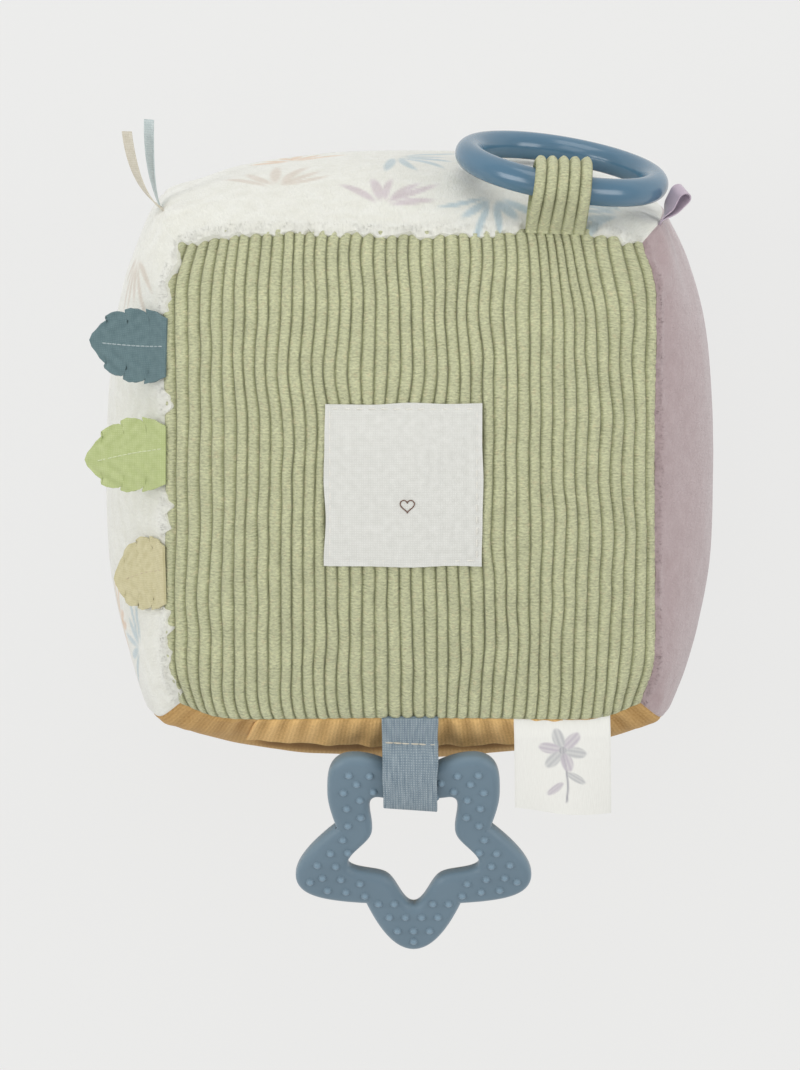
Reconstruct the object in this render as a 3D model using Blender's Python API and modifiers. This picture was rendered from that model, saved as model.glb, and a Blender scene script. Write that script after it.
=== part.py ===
"""Soft fabric activity block for a baby, lying on its back with its corduroy face up.

World axes: +Z is up, out of the corduroy face. +Y is the side with the ring and
+X the mauve side. The origin is on the table under the middle of the block.
All lengths are in metres. Angles are in degrees, and shares have no unit.

The block is a stuffed cube sewn from six panels. Each face bulges, each seam bows
out a little between its corners, and the back is pressed flat where it rests.
A ring, a star and small tabs hang from its seams.
"""

import math

import bmesh
import bpy
from mathutils import Matrix, Vector

OBJECT_NAME = "soft_activity_block"
CUTTER_NAME = "construction_shapes"

# Stuffed cube, measured between its corner points
HALF_WIDTH = 0.0733
HALF_DEPTH = 0.0751
FACE_SEAM_BOW = 0.0021
DEPTH_SEAM_BOW = 0.0102
FACE_CROWN = 0.0190
SIDE_CROWN = 0.0234
BACK_CROWN = 0.0089
CENTRE_HEIGHT = HALF_DEPTH + BACK_CROWN
PANEL_THICKNESS = 0.0025
PANEL_STEP_COUNT = 12
CORE_STEP_COUNT = 6

# Gaps between separate pieces
SEAM_HALF_GAP = 0.00015
FIT_GAP = 0.0003
FILL_GAP = 0.0008
ROOT_GAP = 0.0008

# Second layer on the lower side, with a wavy free lip
FLAP_HALF_LENGTH = 0.0470
FLAP_REACH = 0.0245
FLAP_THICKNESS = 0.0013
FLAP_LIFT = 0.0016
FLAP_LIP_WANDER = 0.0009
FLAP_WAVE_COUNT = 7
FLAP_LONG_STEP_COUNT = 42
FLAP_SHORT_STEP_COUNT = 4
RECESS_RAMP = 0.0120

# Label on the corduroy face
LABEL_WIDTH = 0.0473
LABEL_HEIGHT = 0.0488
LABEL_THICKNESS = 0.0007
LABEL_CENTRE_X = -0.0021
LABEL_CENTRE_Y = -0.0013
LABEL_STEP_COUNT = 6

# Ring and its corduroy loop
RING_MAJOR_RADIUS = 0.02895
RING_TUBE_RADIUS = 0.00405
RING_ROLL_ANGLE = 9.6
RING_LEAN_ANGLE = 12.3
RING_HANG_ANGLE = 4.1
RING_SEGMENT_COUNT = 48
RING_SIDE_COUNT = 12
LOOP_CORNER_DISTANCE = 0.0293
LOOP_SEAM_X = HALF_WIDTH - LOOP_CORNER_DISTANCE
LOOP_REACH = 0.0151
LOOP_SLACK = 0.0025
LOOP_CLOTH = 0.0024
LOOP_WIDTH = 0.0182
LOOP_RISE_ANGLE = 15.0
LOOP_LEAN_ANGLE = 4.0
LOOP_WALE_COUNT = 5
LOOP_WALE_HEIGHT = 0.0007
LOOP_WALE_STEP_COUNT = 4
LOOP_ROUND_STEP_COUNT = 18
LOOP_LEG_SHARES = (0.33, 0.66)

# Star ring and its denim strap
STAR_LOBE_COUNT = 5
STAR_TIP_RADIUS = 0.0388
STAR_VALLEY_RADIUS = 0.0257
STAR_HOLE_TIP_RADIUS = 0.0206
STAR_HOLE_VALLEY_RADIUS = 0.0133
STAR_THICKNESS = 0.0066
STAR_EDGE_RADIUS = 0.0021
STAR_TIP_ROUND = 0.0062
STAR_VALLEY_ROUND = 0.0050
STAR_VALLEY_OPENING_ANGLE = 58.0
STAR_HOLE_TIP_ROUND = 0.0043
STAR_HOLE_VALLEY_ROUND = 0.0024
STAR_CURVE_STEP_COUNT = 5
NUB_RADIUS = 0.00085
NUB_HEIGHT = 0.0006
NUB_SIDE_COUNT = 6
NUB_RING_COUNT = 4
# Each row of nubs on a lobe: distance from the star's middle, then offsets across
NUB_ROW_1_RADIUS = 0.0344
NUB_ROW_2_RADIUS = 0.0303
NUB_ROW_2_OFFSET = 0.0051
NUB_ROW_3_RADIUS = 0.0250
NUB_ROW_3_INNER_OFFSET = 0.0026
NUB_ROW_3_OUTER_OFFSET = 0.0077
NUB_ROW_4_RADIUS = 0.0198
NUB_ROW_4_INNER_OFFSET = 0.0061
NUB_ROW_4_OUTER_OFFSET = 0.0111
STRAP_SEAM_X = 0.0010
STRAP_DROOP_ANGLE = 26.5
STRAP_CLOTH = 0.0009
STRAP_WIDTH = 0.0174
STRAP_END_WIDTH = 0.0164
STRAP_STITCH_REACH = 0.0095
STRAP_TAPER = 0.0037
STRAP_TILT_ROOM = 0.0009
STRAP_STEP_COUNT = 9
STRAP_STITCH_EXPONENT = 2.2
STRAP_FOLD_EXPONENT = 3.2
STAR_CENTRE_REACH = 0.0459

# Serrated leaf tabs on the left front seam
LEAF_LENGTH = 0.0255
LEAF_HALF_WIDTH = 0.0114
LEAF_THICKNESS = 0.0012
LEAF_TAPER = 0.0040
LEAF_UPPER_CORNER_DISTANCE = 0.0353
LEAF_MIDDLE_CORNER_DISTANCE = 0.0663
LEAF_LOWER_CORNER_DISTANCE = 0.0438
LEAF_UPPER_SEAM_Y = HALF_WIDTH - LEAF_UPPER_CORNER_DISTANCE
LEAF_MIDDLE_SEAM_Y = HALF_WIDTH - LEAF_MIDDLE_CORNER_DISTANCE
LEAF_LOWER_SEAM_Y = LEAF_LOWER_CORNER_DISTANCE - HALF_WIDTH
LEAF_UPPER_DROOP_ANGLE = 26.0
LEAF_MIDDLE_DROOP_ANGLE = 13.0
LEAF_LOWER_DROOP_ANGLE = 49.0
LEAF_UPPER_TURN_ANGLE = -4.0
LEAF_MIDDLE_TURN_ANGLE = 5.0
LEAF_LOWER_TURN_ANGLE = 8.0
# One half of the leaf's outline, as shares of its length and of its half width
LEAF_HALF_OUTLINE_SHARES = (
    (0.00, 0.66),
    (0.15, 0.95),
    (0.29, 1.00),
    (0.23, 0.82),
    (0.38, 0.94),
    (0.48, 0.98),
    (0.57, 0.92),
    (0.52, 0.78),
    (0.62, 0.84),
    (0.73, 0.80),
    (0.80, 0.71),
    (0.75, 0.60),
    (0.88, 0.44),
    (0.97, 0.18),
)

# Satin tag, folded double, on the lower front seam
TAG_WIDTH = 0.0296
TAG_LENGTH = 0.0328
TAG_THICKNESS = 0.0008
TAG_STRAP_DISTANCE = 0.0455
TAG_SEAM_X = STRAP_SEAM_X + TAG_STRAP_DISTANCE
TAG_DROOP_ANGLE = 18.0
TAG_TAPER = 0.0030
TAG_CURL = 0.0018
TAG_STEP_COUNT = 6

# Two narrow ribbons side by side on the upper left depth seam
RIBBON_WIDTH = 0.0034
RIBBON_THICKNESS = 0.0004
RIBBON_STEP_COUNT = 12
RIBBON_SEAM_SHARE = 0.65
RIBBON_DIMPLE_DEPTH = 0.0035
RIBBON_DIMPLE_REACH = 0.0160
RIBBON_SPACING = 0.0044
RIBBON_TWIST_ANGLE = 62.0
RIBBON_ROOT_GAP = 0.0007
CREAM_BEND_X = -0.0082
CREAM_BEND_Y = 0.0052
CREAM_TIP_X = -0.0102
CREAM_TIP_Y = 0.0236
CREAM_TIP_DROP = 0.0030
BLUE_BEND_X = -0.0035
BLUE_BEND_Y = 0.0084
BLUE_TIP_X = -0.0029
BLUE_TIP_Y = 0.0264
BLUE_TIP_DROP = 0.0020

# Small satin loop on the upper right depth seam
SATIN_LOOP_SEAM_SHARE = 0.80
SATIN_LOOP_REACH = 0.0120
SATIN_LOOP_RADIUS = 0.0019
SATIN_LOOP_CLOTH = 0.0004
SATIN_LOOP_WIDTH = 0.0055
SATIN_LOOP_SIDE_ANGLE = 36.0
SATIN_LOOP_ROUND_STEP_COUNT = 10
SATIN_LOOP_ACROSS_STEP_COUNT = 2

MERGE_DISTANCE = 0.000001
SMOOTH_ANGLE = 40.0


def clear_scene():
    for item in list(bpy.data.objects):
        bpy.data.objects.remove(item, do_unlink=True)


def new_collection(name):
    group = bpy.data.collections.new(name)
    bpy.context.scene.collection.children.link(group)
    return group


def make_material(name, colour, roughness, metallic=0.0):
    finish = bpy.data.materials.new(name)
    finish.use_nodes = True
    shader = finish.node_tree.nodes["Principled BSDF"]
    shader.inputs["Base Color"].default_value = (*colour, 1.0)
    shader.inputs["Roughness"].default_value = roughness
    shader.inputs["Metallic"].default_value = metallic
    return finish


def add_object(name, mesh, material, place=None):
    """Make an object from a mesh, smooth it and put it in the part's collection."""
    piece = bpy.data.objects.new(name, mesh)
    PARTS.objects.link(piece)
    mesh.materials.clear()
    mesh.materials.append(material)
    mesh.shade_smooth()
    mesh.set_sharp_from_angle(angle=math.radians(SMOOTH_ANGLE))
    if place is not None:
        piece.matrix_world = place
    return piece


def mesh_from(bm, name):
    bmesh.ops.remove_doubles(bm, verts=bm.verts[:], dist=MERGE_DISTANCE)
    bmesh.ops.recalc_face_normals(bm, faces=bm.faces[:])
    closed = not any(edge.is_boundary for edge in bm.edges)
    if closed and bm.calc_volume(signed=True) < 0:
        bmesh.ops.reverse_faces(bm, faces=bm.faces[:])
    mesh = bpy.data.meshes.new(name)
    bm.to_mesh(mesh)
    bm.free()
    return mesh


def mesh_of_curve(curve, name):
    """Turn a filled or bevelled curve into one welded mesh."""
    guide = bpy.data.objects.new(name + "_curve", curve)
    bpy.context.scene.collection.objects.link(guide)
    bpy.context.view_layer.update()
    depsgraph = bpy.context.evaluated_depsgraph_get()
    mesh = bpy.data.meshes.new_from_object(guide.evaluated_get(depsgraph))
    bpy.data.objects.remove(guide, do_unlink=True)
    bm = bmesh.new()
    bm.from_mesh(mesh)
    bpy.data.meshes.remove(mesh)
    return mesh_from(bm, name)


def frame_at(point, x_axis, y_axis):
    """World matrix of a piece whose origin is at point, with the given two axes."""
    x_axis = x_axis.normalized()
    z_axis = x_axis.cross(y_axis).normalized()
    y_axis = z_axis.cross(x_axis)
    turn = Matrix((x_axis, y_axis, z_axis)).transposed().to_4x4()
    return Matrix.Translation(point) @ turn


# Stuffed cube


def cushion_point(face, across, along, inset=0.0):
    """Point of one face, drawn in where the two ribbons pull at their seam."""
    point = plain_point(face, across, along, inset)
    spot = plain_point("left", 1.0, RIBBON_SEAM_SHARE, inset)
    share = (point - spot).length / RIBBON_DIMPLE_REACH
    point.x += RIBBON_DIMPLE_DEPTH * math.exp(-share * share)
    return point


def plain_point(face, across, along, inset):
    """Point of one face of the cube. across and along run from -1 to 1.

    On the front and back they follow X and Y, on the left and right Y and Z,
    and on the upper and lower sides X and Z. inset goes inwards from the cloth.
    """
    half = HALF_WIDTH - inset
    deep = HALF_DEPTH - inset
    bow_across = 1 - across * across
    bow_along = 1 - along * along
    if face in ("front", "back"):
        crown = (FACE_CROWN - FACE_SEAM_BOW - FACE_SEAM_BOW) * bow_across * bow_along
        out = deep + FACE_SEAM_BOW * (bow_across + bow_along) + crown
        x = across * (half + FACE_SEAM_BOW * bow_along)
        y = along * (half + FACE_SEAM_BOW * bow_across)
        z = out if face == "front" else -out
    else:
        crown = (SIDE_CROWN - FACE_SEAM_BOW - DEPTH_SEAM_BOW) * bow_across * bow_along
        out = half + FACE_SEAM_BOW * bow_across + DEPTH_SEAM_BOW * bow_along + crown
        side = across * (half + DEPTH_SEAM_BOW * bow_along)
        z = along * (deep + FACE_SEAM_BOW * bow_across)
        if face in ("left", "right"):
            x = out if face == "right" else -out
            y = side
        else:
            x = side
            y = out if face == "upper" else -out
    lowest = inset - CENTRE_HEIGHT
    return Vector((x, y, max(z, lowest) + CENTRE_HEIGHT))


def double_sheet(x_steps, y_steps):
    """Closed slab of two gridded layers, with coordinates from -1 to 1."""
    bm = bmesh.new()
    bmesh.ops.create_grid(bm, x_segments=x_steps, y_segments=y_steps, size=1.0)
    first = list(bm.verts)
    copy = bmesh.ops.duplicate(bm, geom=bm.verts[:] + bm.edges[:] + bm.faces[:])
    second = [item for item in copy["geom"] if isinstance(item, bmesh.types.BMVert)]
    bmesh.ops.translate(bm, verts=second, vec=(0, 0, -1))
    bmesh.ops.bridge_loops(bm, edges=[edge for edge in bm.edges if edge.is_boundary])
    return bm, first, second


def face_slab(face, across_range, along_limits, step_counts, outer_inset, inner_inset):
    """Closed sheet of cloth on one face, between an outer and an inner inset.

    along_limits gives the sheet's two ends at a place across the face.
    """
    bm, outer, inner = double_sheet(*step_counts)
    for verts, inset in ((outer, outer_inset), (inner, inner_inset)):
        for vert in verts:
            across = mix(*across_range, (vert.co.x + 1) / 2)
            along = mix(*along_limits(across), (vert.co.y + 1) / 2)
            vert.co = cushion_point(face, across, along, inset(across, along))
    return bm


def mix(low, high, share):
    return low + (high - low) * share


def panel_limits(across):
    """A panel's two ends, kept back from its seams by half of the seam's gap."""
    end_share = 1 - SEAM_HALF_GAP / HALF_WIDTH
    return (-end_share, end_share)


def flush(across, along):
    return 0.0


def panel_inside(across, along):
    return PANEL_THICKNESS


def make_panel(face, material, outer_inset=flush):
    steps = (PANEL_STEP_COUNT, PANEL_STEP_COUNT)
    bm = face_slab(face, panel_limits(0), panel_limits, steps, outer_inset, panel_inside)
    return add_object(face + "_panel", mesh_from(bm, face + "_panel"), material)


def make_core(material):
    """Stuffing: the same cube, one cloth thickness and a gap smaller."""
    core_inset = PANEL_THICKNESS + FILL_GAP
    bm = bmesh.new()
    for face in ("front", "back", "upper", "lower", "left", "right"):
        start = len(bm.verts)
        bmesh.ops.create_grid(
            bm, x_segments=CORE_STEP_COUNT, y_segments=CORE_STEP_COUNT, size=1.0
        )
        bm.verts.ensure_lookup_table()
        for vert in bm.verts[start:]:
            vert.co = cushion_point(face, vert.co.x, vert.co.y, core_inset)
    return add_object("fill_core", mesh_from(bm, "fill_core"), material)


# Second layer on the lower side


def ramp(value):
    value = min(max(value, 0.0), 1.0)
    return value * value * (3 - 2 * value)


def flap_lip_share():
    return 1 - FLAP_REACH / HALF_DEPTH


def flap_recess(across, along):
    """How far the lower panel lies back under the flap, fading out round it."""
    ramp_share = RECESS_RAMP / HALF_DEPTH
    end_share = FLAP_HALF_LENGTH / HALF_WIDTH
    lip_wander_share = FLAP_LIP_WANDER / HALF_DEPTH
    past_lip = (flap_lip_share() - lip_wander_share - along) / ramp_share
    past_end = (abs(across) - end_share) / ramp_share
    depth = FLAP_THICKNESS + FIT_GAP
    return depth * ramp(1 - past_lip) * ramp(1 - past_end)


def flap_wave(across):
    return math.sin(math.pi * FLAP_WAVE_COUNT * across * HALF_WIDTH / FLAP_HALF_LENGTH)


def flap_fade(across):
    """One in the middle of the flap, falling to nothing at its sewn ends."""
    return 1 - (across * HALF_WIDTH / FLAP_HALF_LENGTH) ** 2


def flap_limits(across):
    """The flap's wavy free lip and its seam."""
    wander_share = flap_fade(across) * flap_wave(across) * FLAP_LIP_WANDER / HALF_DEPTH
    return (flap_lip_share() + wander_share, panel_limits(across)[1])


def flap_outside(across, along):
    """Waves that grow towards the lip and fade towards the sewn ends."""
    towards_lip = (1 - along) / (1 - flap_lip_share())
    wave_share = (1 + flap_wave(across)) / 2
    return -FLAP_LIFT * flap_fade(across) * towards_lip * towards_lip * wave_share


def flap_inside(across, along):
    return flap_outside(across, along) + FLAP_THICKNESS


def make_flap(material):
    end_share = FLAP_HALF_LENGTH / HALF_WIDTH
    ends = (-end_share, end_share)
    steps = (FLAP_LONG_STEP_COUNT, FLAP_SHORT_STEP_COUNT)
    bm = face_slab("lower", ends, flap_limits, steps, flap_outside, flap_inside)
    return add_object("lower_flap", mesh_from(bm, "lower_flap"), material)


def label_outside(across, along):
    return -(FIT_GAP + LABEL_THICKNESS)


def label_inside(across, along):
    return -FIT_GAP


def label_shares(middle, size):
    reach = HALF_WIDTH + FACE_SEAM_BOW
    return ((middle - size / 2) / reach, (middle + size / 2) / reach)


def label_limits(across):
    return label_shares(LABEL_CENTRE_Y, LABEL_HEIGHT)


def make_label(material):
    ends = label_shares(LABEL_CENTRE_X, LABEL_WIDTH)
    steps = (LABEL_STEP_COUNT, LABEL_STEP_COUNT)
    bm = face_slab("front", ends, label_limits, steps, label_outside, label_inside)
    return add_object("label_patch", mesh_from(bm, "label_patch"), material)


# Where things are sewn in


def front_seam(side, place):
    """Point on a seam round the corduroy face, place being its X or its Y."""
    share = place / HALF_WIDTH
    if side == "upper":
        return cushion_point("front", share, 1.0)
    if side == "lower":
        return cushion_point("front", share, -1.0)
    return cushion_point("front", -1.0, share)


def tab_axes(side, place, width, droop_angle):
    """Outward direction of a tab sewn in a front seam, and the direction of its hinge.

    The hinge follows the seam under the tab, and the tab droops from level.
    """
    seam = front_seam(side, place + width / 2) - front_seam(side, place - width / 2)
    hinge = seam.normalized()
    level = hinge.cross(Vector((0, 0, 1))).normalized()
    away = front_seam(side, place)
    if level.x * away.x + level.y * away.y < 0:
        level = -level
    up = level.cross(hinge)
    if up.z < 0:
        up = -up
    droop = math.radians(droop_angle)
    return level * math.cos(droop) - up * math.sin(droop), hinge


def taper_root(bm, length):
    """Pinch a flat tab towards its sewn end, so that it can swing in its seam."""
    bmesh.ops.bisect_plane(
        bm,
        geom=bm.verts[:] + bm.edges[:] + bm.faces[:],
        plane_co=(length, 0, 0),
        plane_no=(1, 0, 0),
        dist=MERGE_DISTANCE,
    )
    for vert in bm.verts:
        if vert.co.x < length:
            vert.co.z *= vert.co.x / length


# Loops of cloth


def loop_outline(reach, radius, round_steps):
    """Closed drop shape: a round end about reach, running to a point at the seam."""
    start = Vector((ROOT_GAP, 0.0))
    tangent_angle = math.acos(radius / (reach - ROOT_GAP))
    first = math.pi - tangent_angle
    points = [start]
    for step in range(round_steps + 1):
        angle = -first + 2 * first * step / round_steps
        points.append(Vector((reach + radius * math.cos(angle), radius * math.sin(angle))))
    leg_low = [start.lerp(points[1], share) for share in LOOP_LEG_SHARES]
    leg_high = [points[-1].lerp(start, share) for share in LOOP_LEG_SHARES]
    return points[:1] + leg_low + points[1:] + leg_high


def sweep_loop(outline, width, step_count):
    """Open sheet along a closed outline, running across the loop's width."""
    bm = bmesh.new()
    verts = [bm.verts.new((point.x, point.y, -width / 2)) for point in outline]
    edges = [bm.edges.new((verts[index - 1], verts[index])) for index in range(len(verts))]
    for step in range(step_count):
        grown = bmesh.ops.extrude_edge_only(bm, edges=edges)["geom"]
        verts = [item for item in grown if isinstance(item, bmesh.types.BMVert)]
        edges = [item for item in grown if isinstance(item, bmesh.types.BMEdge)]
        edges = [edge for edge in edges if set(edge.verts) <= set(verts)]
        bmesh.ops.translate(bm, verts=verts, vec=(0, 0, width / step_count))
    return bm


def thicken(piece, thickness, offset_share):
    wall = piece.modifiers.new("cloth", "SOLIDIFY")
    wall.thickness = thickness
    wall.offset = offset_share
    wall.use_even_offset = True


def add_wales(bm):
    """Ribs that run round the ring's loop, growing from its pinched root."""
    middle = Vector((LOOP_REACH, 0, 0))
    for vert in bm.verts:
        turn = math.pi * LOOP_WALE_COUNT * (vert.co.z / LOOP_WIDTH + 1 / 2)
        away = Vector((vert.co.x, vert.co.y, 0)) - middle
        height = LOOP_WALE_HEIGHT * abs(math.sin(turn)) * ramp(vert.co.x / LOOP_REACH)
        vert.co += away.normalized() * height


def lean_over(bm):
    """Let the loop lean to the side, more the further it is from its seam."""
    for vert in bm.verts:
        lean = math.radians(LOOP_LEAN_ANGLE) * ramp(vert.co.x / LOOP_REACH)
        vert.co = Matrix.Rotation(-lean, 3, "Y") @ vert.co


def loop_axes():
    outward, hinge = tab_axes("upper", LOOP_SEAM_X, LOOP_WIDTH, -LOOP_RISE_ANGLE)
    return outward, hinge.cross(outward)


def make_ring_loop(material):
    radius = RING_TUBE_RADIUS + LOOP_SLACK + LOOP_CLOTH
    outline = loop_outline(LOOP_REACH, radius, LOOP_ROUND_STEP_COUNT)
    bm = sweep_loop(outline, LOOP_WIDTH, LOOP_WALE_COUNT * LOOP_WALE_STEP_COUNT)
    add_wales(bm)
    lean_over(bm)
    outward, normal = loop_axes()
    place = frame_at(front_seam("upper", LOOP_SEAM_X), outward, normal)
    piece = add_object("ring_loop", mesh_from(bm, "ring_loop"), material, place)
    thicken(piece, LOOP_CLOTH, -1)
    return piece


def ring_hold_point():
    """Middle of the ring's tube where the loop holds it."""
    outward, normal = loop_axes()
    lean = math.radians(LOOP_LEAN_ANGLE)
    reach = outward * LOOP_REACH * math.cos(lean)
    aside = outward.cross(normal) * LOOP_REACH * math.sin(lean)
    return front_seam("upper", LOOP_SEAM_X) + reach + aside


def ring_axes():
    """Along the tube in the loop, and from there across the ring."""
    roll = math.radians(RING_ROLL_ANGLE)
    lean = math.radians(RING_LEAN_ANGLE)
    tilt = math.radians(RING_HANG_ANGLE)
    up = Vector((0, math.cos(tilt), -math.sin(tilt)))
    down = Vector((0, -math.sin(tilt), -math.cos(tilt)))
    along = Vector((math.cos(roll), 0, 0)) - up * math.sin(roll)
    aside = Vector((math.sin(roll), 0, 0)) + up * math.cos(roll)
    across = down * math.cos(lean) + aside * math.sin(lean)
    return along, across


def make_ring(material):
    bpy.ops.mesh.primitive_torus_add(
        major_radius=RING_MAJOR_RADIUS,
        minor_radius=RING_TUBE_RADIUS,
        major_segments=RING_SEGMENT_COUNT,
        minor_segments=RING_SIDE_COUNT,
    )
    torus = bpy.context.object
    mesh = torus.data
    mesh.transform(Matrix.Translation((RING_MAJOR_RADIUS, 0, 0)))
    bpy.data.objects.remove(torus, do_unlink=True)
    along, across = ring_axes()
    return add_object("teething_ring", mesh, material, frame_at(ring_hold_point(), across, along))


# Star and strap


def polar(radius, angle):
    return Vector((radius * math.cos(angle), radius * math.sin(angle), 0.0))


def star_spline(curve, tip_radius, valley_radius, tip_handle, valley_handle, valley_angle):
    """Closed outline with a rounded tip and a valley for each lobe."""
    spline = curve.splines.new("BEZIER")
    spline.use_cyclic_u = True
    spline.resolution_u = STAR_CURVE_STEP_COUNT
    spline.bezier_points.add(2 * STAR_LOBE_COUNT - 1)
    half_turn = math.pi / STAR_LOBE_COUNT
    for index, point in enumerate(spline.bezier_points):
        angle = index * half_turn
        point.handle_left_type = "FREE"
        point.handle_right_type = "FREE"
        if index % 2 == 0:
            point.co = polar(tip_radius, angle)
            side = polar(tip_handle, angle + math.pi / 2)
            point.handle_left = point.co - side
            point.handle_right = point.co + side
        else:
            point.co = polar(valley_radius, angle)
            opening = math.radians(valley_angle)
            point.handle_left = point.co + polar(valley_handle, angle - opening)
            point.handle_right = point.co + polar(valley_handle, angle + opening)


def star_body_mesh():
    """Flat star ring with rounded edges. Its flat face is set in by the edge radius."""
    curve = bpy.data.curves.new("star_outline", "CURVE")
    curve.dimensions = "2D"
    curve.fill_mode = "BOTH"
    curve.extrude = STAR_THICKNESS / 2 - STAR_EDGE_RADIUS
    curve.bevel_depth = STAR_EDGE_RADIUS
    curve.bevel_resolution = 2
    opening = math.radians(STAR_VALLEY_OPENING_ANGLE)
    star_spline(
        curve,
        STAR_TIP_RADIUS - STAR_EDGE_RADIUS,
        STAR_VALLEY_RADIUS - STAR_EDGE_RADIUS / math.sin(opening),
        STAR_TIP_ROUND,
        STAR_VALLEY_ROUND,
        STAR_VALLEY_OPENING_ANGLE,
    )
    star_spline(
        curve,
        STAR_HOLE_TIP_RADIUS + STAR_EDGE_RADIUS,
        STAR_HOLE_VALLEY_RADIUS + STAR_EDGE_RADIUS,
        STAR_HOLE_TIP_ROUND,
        STAR_HOLE_VALLEY_ROUND,
        90.0,
    )
    return mesh_of_curve(curve, "star_body")


def nub_places():
    """Middles of the nubs on one face, in rows across each lobe."""
    rows = (
        (NUB_ROW_1_RADIUS, (0.0,)),
        (NUB_ROW_2_RADIUS, (-NUB_ROW_2_OFFSET, 0.0, NUB_ROW_2_OFFSET)),
        (NUB_ROW_3_RADIUS, mirrored(NUB_ROW_3_INNER_OFFSET, NUB_ROW_3_OUTER_OFFSET)),
        (NUB_ROW_4_RADIUS, mirrored(NUB_ROW_4_INNER_OFFSET, NUB_ROW_4_OUTER_OFFSET)),
    )
    places = []
    for lobe in range(STAR_LOBE_COUNT):
        angle = 2 * math.pi * lobe / STAR_LOBE_COUNT
        for radius, offsets in rows:
            for offset in offsets:
                places.append(polar(radius, angle) + polar(offset, angle + math.pi / 2))
    return places


def mirrored(inner, outer):
    return (-outer, -inner, inner, outer)


def nubs_mesh():
    """Low domes for both faces, each a flattened ball half sunk in the face."""
    bm = bmesh.new()
    for side in (-1, 1):
        for place in nub_places():
            spot = Vector((place.x, place.y, side * STAR_THICKNESS / 2))
            scale = Matrix.Diagonal((NUB_RADIUS, NUB_RADIUS, NUB_HEIGHT, 1.0))
            bmesh.ops.create_uvsphere(
                bm,
                u_segments=NUB_SIDE_COUNT,
                v_segments=NUB_RING_COUNT,
                radius=1.0,
                matrix=Matrix.Translation(spot) @ scale,
            )
    return mesh_from(bm, "star_nubs")


def make_star(material):
    bar_radius = (STAR_VALLEY_RADIUS + STAR_HOLE_VALLEY_RADIUS) / 2
    outward, side = strap_axes()
    hinge = front_seam("lower", STRAP_SEAM_X) + outward * (STAR_CENTRE_REACH - bar_radius)
    shift = Matrix.Translation((bar_radius, 0, 0))
    body = star_body_mesh()
    body.transform(shift)
    nubs = nubs_mesh()
    nubs.transform(shift)
    star = add_object("star_teether", body, material, frame_at(hinge, outward, side))
    cutter = bpy.data.objects.new("star_nub_shapes", nubs)
    CUTTERS.objects.link(cutter)
    cutter.matrix_world = star.matrix_world
    cutter.hide_render = True
    cutter.display_type = "WIRE"
    join = star.modifiers.new("nubs", "BOOLEAN")
    join.operation = "UNION"
    join.solver = "EXACT"
    join.object = cutter
    return star


def strap_axes():
    return tab_axes("lower", STRAP_SEAM_X, STRAP_WIDTH, STRAP_DROOP_ANGLE)


def flat_outline_curve(name, outlines, half_thickness):
    curve = bpy.data.curves.new(name, "CURVE")
    curve.dimensions = "2D"
    curve.fill_mode = "BOTH"
    curve.extrude = half_thickness
    for outline in outlines:
        spline = curve.splines.new("POLY")
        spline.points.add(len(outline) - 1)
        spline.use_cyclic_u = True
        for point, place in zip(spline.points, outline):
            point.co = (place[0], place[1], 0.0, 1.0)
    return curve


def strap_outlines():
    """Side view of the strap: two layers to the stitching, then a loop for the star."""
    room = STAR_THICKNESS / 2 + NUB_HEIGHT + STRAP_TILT_ROOM
    fold = STAR_CENTRE_REACH - STAR_HOLE_VALLEY_RADIUS + FIT_GAP
    middle = (STRAP_STITCH_REACH + fold) / 2
    half_length = (fold - STRAP_STITCH_REACH) / 2
    upper_inner = []
    upper_outer = [
        (ROOT_GAP, STRAP_CLOTH * ROOT_GAP / STRAP_TAPER),
        (STRAP_TAPER, STRAP_CLOTH),
    ]
    for step in range(STRAP_STEP_COUNT + 1):
        u = -math.cos(math.pi / 2 * step / STRAP_STEP_COUNT)
        power = STRAP_STITCH_EXPONENT
        height = room * (1 - abs(u) ** power) ** (1 / power)
        upper_inner.append((middle + half_length * u, height))
        upper_outer.append((middle + half_length * u, height + STRAP_CLOTH))
    for step in range(1, STRAP_STEP_COUNT + 1):
        u = math.sin(math.pi / 2 * step / STRAP_STEP_COUNT)
        power = STRAP_FOLD_EXPONENT
        share = max(1 - u ** power, 0.0) ** (1 / power)
        upper_inner.append((middle + half_length * u, room * share))
        outer_length = half_length + STRAP_CLOTH
        upper_outer.append((middle + outer_length * u, (room + STRAP_CLOTH) * share))
    outer = upper_outer + [(x, -y) for x, y in reversed(upper_outer[:-1])]
    inner = upper_inner + [(x, -y) for x, y in reversed(upper_inner[1:-1])]
    return outer, inner


def make_strap(material):
    outer, inner = strap_outlines()
    curve = flat_outline_curve("strap_side", (outer, inner), STRAP_WIDTH / 2)
    mesh = mesh_of_curve(curve, "star_strap")
    end = max(x for x, y in outer)
    for vert in mesh.vertices:
        share = 1 - (1 - STRAP_END_WIDTH / STRAP_WIDTH) * vert.co.x / end
        vert.co.z *= share
    outward, side = strap_axes()
    place = frame_at(front_seam("lower", STRAP_SEAM_X), outward, outward.cross(side))
    return add_object("star_strap", mesh, material, place)


# Leaf tabs


def leaf_outline():
    half = [
        (ROOT_GAP + along * (LEAF_LENGTH - ROOT_GAP), across * LEAF_HALF_WIDTH)
        for along, across in LEAF_HALF_OUTLINE_SHARES
    ]
    return half + [(LEAF_LENGTH, 0.0)] + [(x, -y) for x, y in reversed(half)]


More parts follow.
